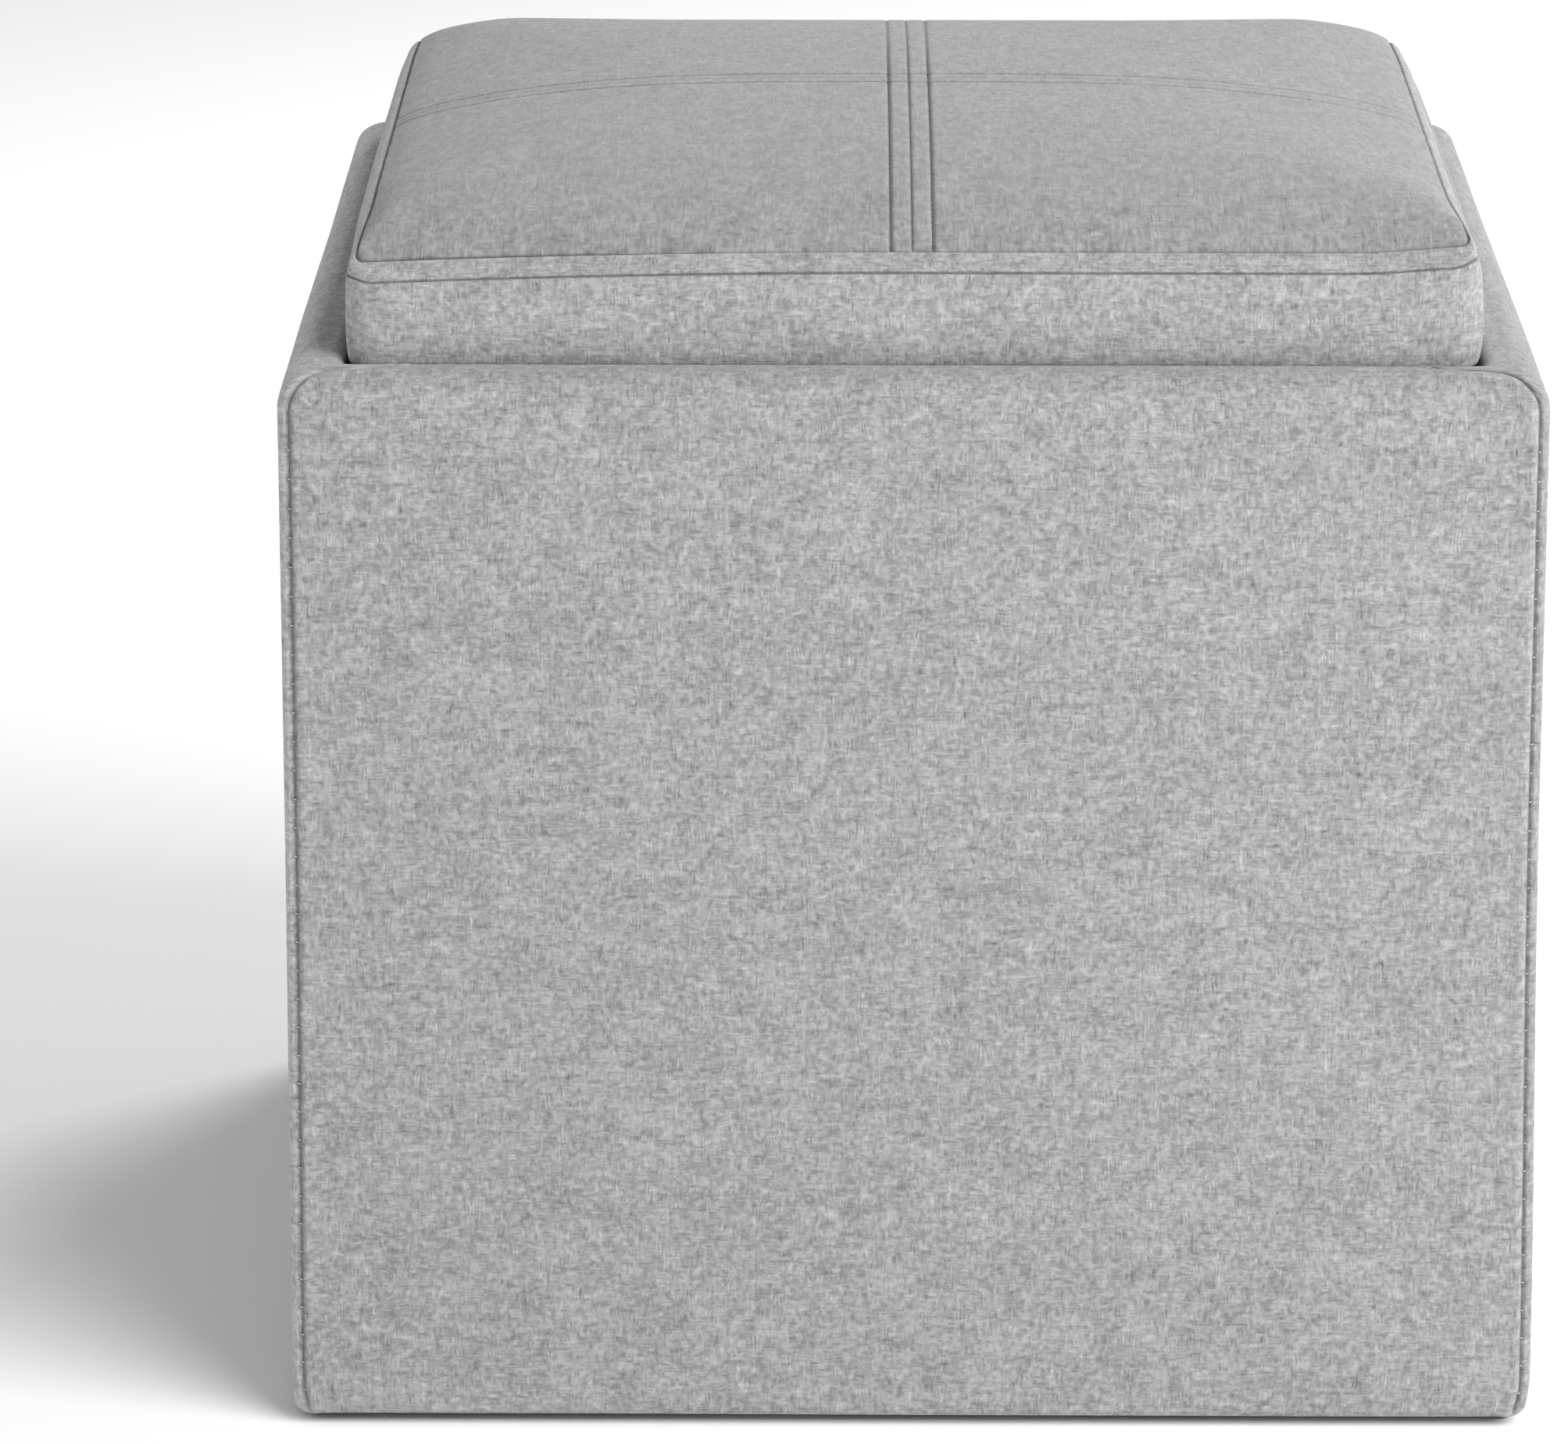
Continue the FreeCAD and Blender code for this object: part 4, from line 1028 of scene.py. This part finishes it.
def carried(points, normals):
    # the fabric follows the ripples that the pad's swelling made beneath it
    flat = (points - normals * padForm["under"]).reshape(-1, 3)
    shift = np.zeros(len(flat))
    for index, place in enumerate(flat):
        found = padTree.find_n(place, 6)
        weights = np.array([1 / (distance + 0.001) for _, _, distance in found])
        ripple = padRipple[[number for _, number, _ in found]]
        shift[index] = ripple @ weights / weights.sum()
    return shift.reshape(points.shape[:2])


def smoothedRows(values, times):
    for _ in range(times):
        values = values.copy()
        values[1:-1] = (values[:-2] + 2 * values[1:-1] + values[2:]) / 4
        values[:, 1:-1] = (values[:, :-2] + 2 * values[:, 1:-1] + values[:, 2:]) / 4
    return values


# The sewn lines of the lid's top
topStitch = {
    "fromSeam": 0.0072,  # twin rows beside the middle seams
    "lineWidth": 0.0006,
    # the depth, width and darkness of each line, the darkness being painted shade
    "middleSeam": (0.0006, 0.0006, 0.68),
    "middleRows": (0.0007, 0.0007, 0.9),
    "crossSeam": (0.0001, 0.0004, 0.0),
    "crossRows": (0.0006, 0.0008, 0.6),
    "rimRows": (0.0009, 0.0006, 1.0),
    "frontFade": 0.35,  # the middle lines are paler near the front, and shallower at the back
    "backFade": 0.55,
    "frontShallow": 0.4,  # share of the rim's depth left on the front, where nothing is topstitched
    "sideNarrow": 1.5,  # the sides' line is finer, and finest on the right
    "rightNarrow": 0.5,
    "pullSize": 0.012,
    "pull": 0.5,  # the thread pulls the rim's line a little to and fro
    "endTone": (0.14, 0.25, 0.6, 0.5),  # front rim: all along, by the pull, left third, right end
    "leftThird": (0.45, 0.60),  # where these start and are full, as shares of the half width
    "rightEnd": (0.84, 0.96),
    "frontZone": (0.80, 0.97),
    "unbrushed": (0.68, 0.97),
}


def halfStations():
    span = lidForm["seamHalf"] - lidForm["border"]
    line = topStitch["fromSeam"]
    beside = np.array([0.0002, 0.0005, 0.0009, 0.0014, 0.0022, 0.0035])
    return np.concatenate([
        [0.0, 0.0003, 0.0006, 0.001, 0.0016, 0.0024], line - beside[::-1], [line], line + beside,
        spacedRow((line + 0.0055, 0.0042), span - 0.012),
        span - np.array([0.0085, 0.006, 0.0042, 0.0029, 0.002, 0.0014, 0.001, 0.0006, 0.0003, 0.0])])


def lidPanel(name, xSide, ySide, node):
    stations = halfStations() / lidForm["seamHalf"]
    a = np.repeat(stations[None, :] * xSide, len(stations), axis=0)
    b = np.repeat(stations[:, None] * ySide, len(stations), axis=1)
    if xSide * ySide < 0:
        a, b = a[:, ::-1], b[:, ::-1]
    points = lidTop(a, b)
    normals = gridNormals(points)
    normals *= np.sign(normals[..., 2:3])
    fromX, fromY = np.abs(a) * lidForm["seamHalf"], np.abs(b) * lidForm["seamHalf"]
    line = topStitch["fromSeam"]
    pull = softNoise(points[..., 0], points[..., 1], topStitch["pullSize"], 60)
    onSide = np.abs(a) > np.abs(b)
    rim = lidForm["seamHalf"] - np.maximum(fromX, fromY) - lidForm["border"]
    rim = rim * (1 + topStitch["pull"] * pull)
    rim = rim / np.where(onSide, topStitch["sideNarrow"] + topStitch["rightNarrow"] * (a > 0), 1.0)
    allAlong, byPull, atLeft, atRight = topStitch["endTone"]
    endTone = allAlong + byPull * pull + atLeft * smoothStep(-a, *topStitch["leftThird"])
    endTone = endTone + atRight * smoothStep(a, *topStitch["rightEnd"])
    least = topStitch["frontShallow"]
    atEnds = least + (1 - least) * smoothStep(np.abs(a), *topStitch["rightEnd"])
    rimDepth = np.where(onSide, 1.0, atEnds)
    faded = 1 - topStitch["frontFade"] * smoothStep(-b, *topStitch["frontZone"])
    shallow = 1 - topStitch["backFade"] * smoothStep(b, 0.0, 0.5)
    sink, gaps, tones = 0, [], []
    for word, gap, deep, dark in (
            ("middleSeam", fromX, shallow, faded), ("middleRows", np.abs(fromX - line), shallow, faded),
            ("crossSeam", fromY, 1, 1), ("crossRows", np.abs(fromY - line), 1, 1),
            ("rimRows", rim, rimDepth, np.where(onSide, 1.0, endTone))):
        depth, width, darkness = topStitch[word]
        sink = sink + depth * deep * np.exp(-(gap / width) ** 2)
        gaps.append(gap * topStitch["lineWidth"] / width)
        tones.append(darkness * dark + 0 * rim)
    gap = np.min(gaps, axis=0)
    tone = np.choose(np.argmin(gaps, axis=0), tones)
    shift = smoothedRows(carried(points, normals), 3)
    edge = np.clip(rim / 0.002, 0, 1)  # nothing moves the shared seam
    points = points + normals * (shift * edge - sink)[..., None]
    drift = np.array([0.71 + 0.37 * xSide, 0.53 + 0.19 * ySide])  # cut from four places of the cloth
    cloth = points[..., :2] + drift
    brushed = 1 - smoothStep(-b, *topStitch["unbrushed"])
    marks = {"seamDistance": gap, "seamTone": tone, "brushed": brushed}
    piece = gridObject(name, points, cloth, marks, linenTopPaintedShadeMaterial)
    thickened(piece, linen["thickness"])
    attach(piece, "lid")
    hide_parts(node)
    declareCut(points)
    return piece


# The strip round the lid's side, from under the board up to the seam round the top
boxingSeam = {
    "turnIn": 0.002,  # round at the foot, where the strip turns in under the board
    "level": 0.0004,
    "cornerLess": 0.004,
    "edgeDepth": 0.0011,
    # edgeTone and innerTone set the darkness of the painted seam shade
    "edgeTone": 0.9,
    "innerDepth": 0.0007,
    "innerTone": (0.12, 0.65),  # front and back: all along, and more towards the ends
    "width": 0.0006,
    "allowanceDrop": (0.0010, 0.0009),
    "upward": 0.7,  # the edge seam is pulled in and down, across the edge
}


def lidBoxing():
    u, side = loopStations()
    form, seam = lidForm, boxingSeam
    rows = []

    def addRow(inset, corner, rise):
        x, y = ringPoint(form["footHalf"] - inset, corner, u, side)
        rows.append(np.stack([x, y, form["foot"] + rise + 0 * x], axis=-1))

    footRound = form["seamRound"] - seam["cornerLess"]
    for inset in (0.026, 0.018, 0.010, 0.005):
        addRow(inset, footRound - inset / 2, seam["level"])
    for angle in np.radians([15, 40, 65, 90]):
        rise = seam["level"] + seam["turnIn"] * (1 - math.cos(angle))
        addRow(seam["turnIn"] * (1 - math.sin(angle)), footRound, rise)
    for height in (0.004, 0.008):
        addRow(0, footRound + 0.0004, height)
    shares = np.concatenate([
        spacedRow((0.0, 0.035), (0.9, 0.02), 0.955), 1 - np.array([0.032, 0.022, 0.015, 0.009, 0.004])])
    for share in shares:
        rows.append(boxingSide(u, side, np.full_like(u, share)))
    edgeRow = len(rows)
    depths = np.array([
        0.0, 0.0003, 0.0006, 0.001, 0.0015, 0.0022, 0.003, 0.004, 0.005, 0.006, 0.0066, 0.007, 0.0074,
        0.0077, 0.008, 0.0086, 0.0096])
    stitchRow = edgeRow + 14
    for depth in depths:
        a, b = ringToSquare(u, side, np.full_like(u, depth))
        rows.append(lidTop(a, b))
    points = np.stack(rows)
    over = np.roll(points, -1, axis=1) - np.roll(points, 1, axis=1)
    blend = unit(np.cross(over, np.gradient(points, axis=0)))
    for _ in range(4):  # soften the turn over the edge, not the shared seam
        blend[1:stitchRow - 2] = (
            blend[:stitchRow - 3] + 2 * blend[1:stitchRow - 2] + blend[2:stitchRow - 1]) / 4
    normals = unit(blend)
    rise = np.linalg.norm(np.diff(points, axis=0), axis=-1)
    length = np.concatenate([np.zeros((1, points.shape[1])), np.cumsum(rise, axis=0)])
    edgeGap = np.abs(length - length[edgeRow])
    innerGap = np.abs(length - length[stitchRow])
    rowNumber = np.arange(len(rows))[:, None]
    loose = np.clip((rowNumber - 12) / 6, 0, 1)  # the part inside the rim stays flat
    shift = smoothedRows(carried(points, normals), 3) * loose
    shift = shift * np.clip((stitchRow - rowNumber) / 4, 0, 1)
    under = np.clip(rowNumber - stitchRow, 0, 2)  # the allowance turns down under the top panels
    first, more = seam["allowanceDrop"]
    inner = seam["innerDepth"] * np.exp(-(innerGap / seam["width"]) ** 2)
    sink = np.where(under > 0, first + more * under, inner)
    tangent = np.roll(points[edgeRow], -1, axis=0) - np.roll(points[edgeRow], 1, axis=0)
    pulled = unit(np.stack([tangent[:, 1], -tangent[:, 0], np.zeros(len(u))], axis=-1))
    pulled[:, 2] = seam["upward"]
    pulled /= 1.22
    edgeSink = seam["edgeDepth"] * np.exp(-(edgeGap / seam["width"]) ** 2)
    points = points + normals * (shift - sink)[..., None] - pulled[None] * edgeSink[..., None]
    steps = np.linalg.norm(np.roll(points, -1, axis=1) - points, axis=-1)
    around = np.concatenate([np.zeros((len(rows), 1)), np.cumsum(steps, axis=1)], axis=1)
    perSide = len(u) // 4
    ofSide = np.append(side, 3)
    middles = around[:, np.arange(4) * perSide + perSide // 2]
    cloth = np.stack([
        around - middles[:, ofSide] + ofSide * around[edgeRow, -1] / 4,
        np.repeat(length.mean(axis=1)[:, None], len(u) + 1, axis=1)], axis=-1)
    gap = np.minimum(edgeGap, innerGap)
    alongEnd = np.where(side % 2 == 0, np.where(side == 0, u, -u), -1.0)
    ends = np.maximum(
        smoothStep(-alongEnd, *topStitch["leftThird"]), smoothStep(alongEnd, *topStitch["rightEnd"]))
    tone = np.where(edgeGap < innerGap, seam["edgeTone"], seam["innerTone"][0] + seam["innerTone"][1] * ends)
    marks = {"seamDistance": gap, "seamTone": tone}
    piece = gridObject("lidBoxing", points, cloth, marks, linenMaterial, closed=True)
    thickened(piece, linen["thickness"])
    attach(piece, "lid")
    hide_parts("lid_boxing")
    declareCut(np.concatenate([points, points[:, :1]], axis=1))
    return piece


lidPieces = [
    lidPanel("lidPanelFrontLeft", -1, -1, "lid_panel_front_left"),
    lidPanel("lidPanelFrontRight", 1, -1, "lid_panel_front_right"),
    lidPanel("lidPanelBackLeft", -1, 1, "lid_panel_back_left"),
    lidPanel("lidPanelBackRight", 1, 1, "lid_panel_back_right"),
    lidBoxing(),
]
for piece in lidPieces + [lidPad]:
    piece.data.transform(Matrix.Translation((lidForm["shift"], 0, 0)))
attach(lidPad, "lid")
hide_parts("lid_foam", "lid_crown_pad")
print("lid made")


# Foam sheet glued to the walls, over the rim and down to the lid rest
paddingSheet = {
    "inset": 0.0026,
    "thickness": 0.0024,
    "hemGap": 0.004,
    "dimple": 0.00012,
}


def paddingPanel(name, side, node):
    marks = profileMarks
    half = sideSpan / 2 - 0.0008
    start, end = marks[2] + paddingSheet["hemGap"], marks[7] - 0.002
    t = spacedRow((start, 0.014), (-0.012, 0.0012), (marks[6] + 0.002, 0.004), end)
    s = spacedRow((-half, 0.0012), (-half + 0.018, 0.014), (half - 0.018, 0.0012), half)
    s, t = np.meshgrid(s, t)
    points = boxSurface(s + side * sideSpan, t)
    normals = gridNormals(points)
    normals *= np.sign(np.sum(normals[2] * points[2] * [1, 1, 0]))
    dimples = paddingSheet["dimple"] * softNoise(s, t, 0.03, 40 + side)
    points = points - normals * (paddingSheet["inset"] + dimples)[..., None]
    piece = gridObject(name, points, np.stack([s + 1.3 * side, t], axis=-1), {}, foamMaterial)
    thickened(piece, paddingSheet["thickness"])
    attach(piece, "box")
    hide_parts(node)


for number, word in enumerate(("front", "right", "back", "left")):
    paddingPanel(word + "Padding", number, "padding_" + word)
lidPad.data.materials.clear()
lidPad.data.materials.append(foamMaterial)
print("padding made")


# Thin cloths: the store's lining, the card on its floor, and the black cloths underneath
thinCloth = {
    "spacing": 0.008,
    "border": 0.012,
    "borderSpacing": 0.003,
    "inset": 0.0004,
    "slackWidth": 0.05,  # tight near the edges
    "waveSize": 0.09,
    "cardRound": 0.0008,
    # thickness, wave, finish and slot
    "lining": (0.0004, 0.0002, liningMaterial, "lining_cloth"),
    "card": (0.0022, 0.00012, liningMaterial, "lining_cloth"),
    "dust": (0.0005, 0.00006, dustMaterial, "dust_cloth"),
}


def clothOn(name, node, kind, axes, level, facing, seed, body):
    # a stretched cloth over a node's own rectangle; level is its outer face on the third axis
    thickness, wave, material, slotName = thinCloth[kind]
    border, fine, inset = thinCloth["border"], thinCloth["borderSpacing"], thinCloth["inset"]
    low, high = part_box(node)
    rows, slacks = [], []
    for axis in axes:
        start, end = low[axis], high[axis]
        rows.append(spacedRow(
            (start + inset, fine), (start + border, thinCloth["spacing"]), (end - border, fine), end - inset))
        slacks.append(np.minimum(rows[-1] - start, end - rows[-1]))
    u, v = np.meshgrid(*rows)
    slack = np.clip(np.minimum(*np.meshgrid(*slacks)) / thinCloth["slackWidth"], 0, 1)
    facingAxis = 3 - sum(axes)
    points = np.zeros(u.shape + (3,))
    points[..., axes[0]], points[..., axes[1]] = u, v
    waves = facing * wave * (1 + softNoise(u, v, thinCloth["waveSize"], seed)) * slack
    points[..., facingAxis] = level - waves
    piece = gridObject(name, points, np.stack([u, v], axis=-1), {}, material)
    thickened(piece, thickness, -1.0 if gridNormals(points)[1, 1][facingAxis] * facing > 0 else 1.0)
    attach(piece, body)
    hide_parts(node)
    return piece, tuple(high[axis] - low[axis] - 2 * inset for axis in axes)


def addLinings():
    front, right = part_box("lining_front"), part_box("lining_right")
    faces = [
        ("front", (0, 2), front[1].y, 1), ("back", (0, 2), -front[1].y, -1),
        ("left", (1, 2), -right[0].x, 1), ("right", (1, 2), right[0].x, -1)]
    for number, (word, axes, level, facing) in enumerate(faces):
        piece, size = clothOn(
            word + "Lining", "lining_" + word, "lining", axes, level, facing, 50 + number, "box")


def addFloorLining():
    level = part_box("floor_lining")[1].z
    piece, size = clothOn("floorLining", "floor_lining", "card", (0, 1), level, 1, 61, "box")
    edge = piece.modifiers.new("rounded", "BEVEL")
    edge.width = thinCloth["cardRound"]
    edge.segments = 2
    edge.limit_method = "ANGLE"


def addBlackCloths():
    for name, node, seed, body, under in (
            ("dustCover", "dust_cover", 71, "box", "floor_rail_front"),
            ("lidUnderlay", "lid_underlay", 72, "lid", "lid_board")):
        piece, size = clothOn(name, node, "dust", (0, 1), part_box(node)[0].z, -1, seed, body)


# A dark roll under the hem: a painted shadow, standing in for the shade in the gap under the box
hemShadowRoll = {
    "radius": 0.0009,
    "inset": 0.0046,
    "level": 0.0028,
}


def addHemShadowRoll():
    roll = hemShadowRoll["radius"]
    s = np.linspace(-0.5, 3.5, 561)[:-1] * sideSpan
    rows = []
    for angle in np.radians(np.arange(0, 360, 30)):
        inward = hemShadowRoll["inset"] - roll * math.cos(angle)
        under = boxSurface(s, np.full_like(s, profileMarks[1] + boxSkin["hemRound"] - inward))
        under[:, 2] = hemShadowRoll["level"] + roll * math.sin(angle)
        rows.append(under)
    points = np.stack(rows + rows[:1])
    cloth = np.stack(np.broadcast_arrays(s[None, :], np.arange(13)[:, None] * roll / 2), axis=-1)
    piece = gridObject("hemShadowRoll", points, cloth, {}, hemShadowMaterial, closed=True)
    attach(piece, "box")


addLinings()
addFloorLining()
addBlackCloths()
addHemShadowRoll()
print("linings and black cloths made")


# Thread: short capsules in the sewn lines of the lid, and knots across the front seams
thread = {
    "stitch": 0.0036,
    "pitch": 0.0044,
    "radius": 0.00026,
    "sunk": 0.00062,
    "knotPitch": 0.0103,
    "leftKnot": 0.0017,
    "rightKnot": 0.0010,
    "knotRadius": 0.0003,
    "knotSunk": 0.00032,
}


def capsules(name, centres, directions, normals, length, radius, material):
    # one low mesh of many short rounded threads
    sides = np.arange(6) * math.tau / 6
    rings = [(-0.5, 0.35), (-0.36, 0.9), (0.36, 0.9), (0.5, 0.35)]  # place along it, width
    tube = quadFaces(len(rings), len(sides), True)
    across = unit(np.cross(normals, directions))
    points, faces = [], []
    for place, along, side, up in zip(centres, directions, across, normals):
        start = len(points)
        for share, width in rings:
            for angle in sides:
                points.append(
                    place + along * share * length
                    + (side * math.cos(angle) + up * math.sin(angle)) * radius * width)
        faces += (start + tube).tolist()
        faces.append([start + number for number in range(5, -1, -1)])
        faces.append([start + 18 + number for number in range(6)])
    data = bpy.data.meshes.new(name)
    data.from_pydata([tuple(point) for point in points], [], faces)
    data.materials.append(material)
    data.shade_smooth()
    return addObject(name, data)


def stitchesAlong(path, pitch):
    # evenly spaced places on a fine path, with the path's direction there
    steps = np.linalg.norm(np.diff(path, axis=0), axis=1)
    length = np.concatenate([[0], np.cumsum(steps)])
    places = np.arange(pitch / 2, length[-1], pitch)

    def pathAt(reached):
        return np.stack([np.interp(reached, length, path[:, axis]) for axis in range(3)], axis=1)

    return pathAt(places), unit(pathAt(places + 0.0005) - pathAt(places - 0.0005))


def lidLine(a, b):
    # points of the lid's fabric and its outward direction, along a line over the square
    points = lidTop(a, b)
    east = lidTop(np.clip(a + 0.002, -1, 1), b) - lidTop(np.clip(a - 0.002, -1, 1), b)
    north = lidTop(a, np.clip(b + 0.002, -1, 1)) - lidTop(a, np.clip(b - 0.002, -1, 1))
    normals = unit(np.cross(east, north))
    ripple = carried(points[None], normals[None])[0]
    return points + normals * ripple[:, None], normals


def addLidStitches():
    line = topStitch["fromSeam"] / lidForm["seamHalf"]
    end = 1 - lidForm["border"] / lidForm["seamHalf"]
    run = np.linspace(-end, end, 700)
    paths = []
    for offset in (-line, line):
        paths.append((run * 0 + offset, run))
        paths.append((run, run * 0 + offset))
    u = np.linspace(-1, 1, 500)[:-1] * 0.9999
    for side in range(4):
        reach = u if side % 2 else u[u < -0.5]  # front and back seams are only topstitched at one end
        paths.append(ringToSquare(
            reach, np.full_like(reach, side), np.full_like(reach, lidForm["border"])))
    centres, directions, normals = [], [], []
    for a, b in paths:
        path, up = lidLine(a, b)
        place, direction = stitchesAlong(path, thread["pitch"])
        nearest = [int(np.argmin(np.sum((path - one) ** 2, axis=1))) for one in place]
        centres.append(place - up[nearest] * thread["sunk"])
        directions.append(direction)
        normals.append(up[nearest])
    piece = capsules(
        "lidStitches", np.concatenate(centres), np.concatenate(directions), np.concatenate(normals),
        thread["stitch"], thread["radius"], threadMaterial)
    piece.data.transform(Matrix.Translation((lidForm["shift"], 0, 0)))
    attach(piece, "lid")


def addSeamKnots():
    t = np.arange(profileMarks[2] + 0.006, -0.004, thread["knotPitch"])
    for end, name in ((-1, "left"), (1, "right")):
        half = seamHalfWidth(t)
        places = boxSurface(end * half, t)
        direction = unit(boxSurface(end * (half + 0.001), t) - boxSurface(end * (half - 0.001), t))
        up = np.cross(direction, [0, 0, 1.0])
        up *= np.sign(np.sum(up * places * [1, 1, 0], axis=1))[:, None]
        piece = capsules(
            name + "SeamKnots", places - up * thread["knotSunk"], direction, up,
            thread[name + "Knot"], thread["knotRadius"], knotMaterial)
        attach(piece, "box")


addLidStitches()
addSeamKnots()
print("thread made")


# Floor, sky and lights
studio = {
    "floorTone": (0.93, 0.93, 0.93),
    "skyTone": (1.0, 1.0, 1.0),
    "skyStrength": 0.45,
    "lights": {  # place, height it is aimed at, watts and width
        "keyLight": ((2.23, -2.23, 1.80), 0.2, 214.0, 3.36),
        "leftLight": ((-2.2, -0.6, 0.45), 0.3, 22.0, 1.0),
        "backLight": ((1.061, 1.837, 2.321), 0.2, 47.6, 1.2),
    },
}


def addLight(name, place, aimed, watts, size):
    data = bpy.data.lights.new(name, "AREA")
    data.energy = watts
    data.shape = "DISK"
    data.size = size
    light = addObject(name, data)
    light.location = place
    aim = Vector((0, 0, aimed)) - Vector(place)
    light.rotation_euler = aim.to_track_quat("-Z", "Y").to_euler()
    return light


def addStudio():
    floor = Finish("studioFloor")
    floor.finished({
        "Base Color": rgb(*studio["floorTone"]), "Roughness": 0.9, "Specular IOR Level": 0.0})
    data = bpy.data.meshes.new("studioFloor")
    data.from_pydata([(-9, -6, 0), (9, -6, 0), (9, 12, 0), (-9, 12, 0)], [], [(0, 1, 2, 3)])
    data.materials.append(floor.material)
    addObject("studioFloor", data)
    world = bpy.data.worlds.new("studioSky")
    world.use_nodes = True
    sky = world.node_tree.nodes["Background"]
    sky.inputs["Color"].default_value = rgb(*studio["skyTone"])
    sky.inputs["Strength"].default_value = studio["skyStrength"]
    bpy.context.scene.world = world
    lights = {name: addLight(name, *values) for name, values in studio["lights"].items()}
    sides = bpy.data.collections.new("leftSides")  # the left fill leaves the floor and the top alone
    for cover in (coverPieces[3], lidPieces[4]):
        sides.objects.link(cover)
    lights["leftLight"].light_linking.receiver_collection = sides
    bpy.context.scene.view_settings.view_transform = "Standard"


addStudio()
print("studio made")
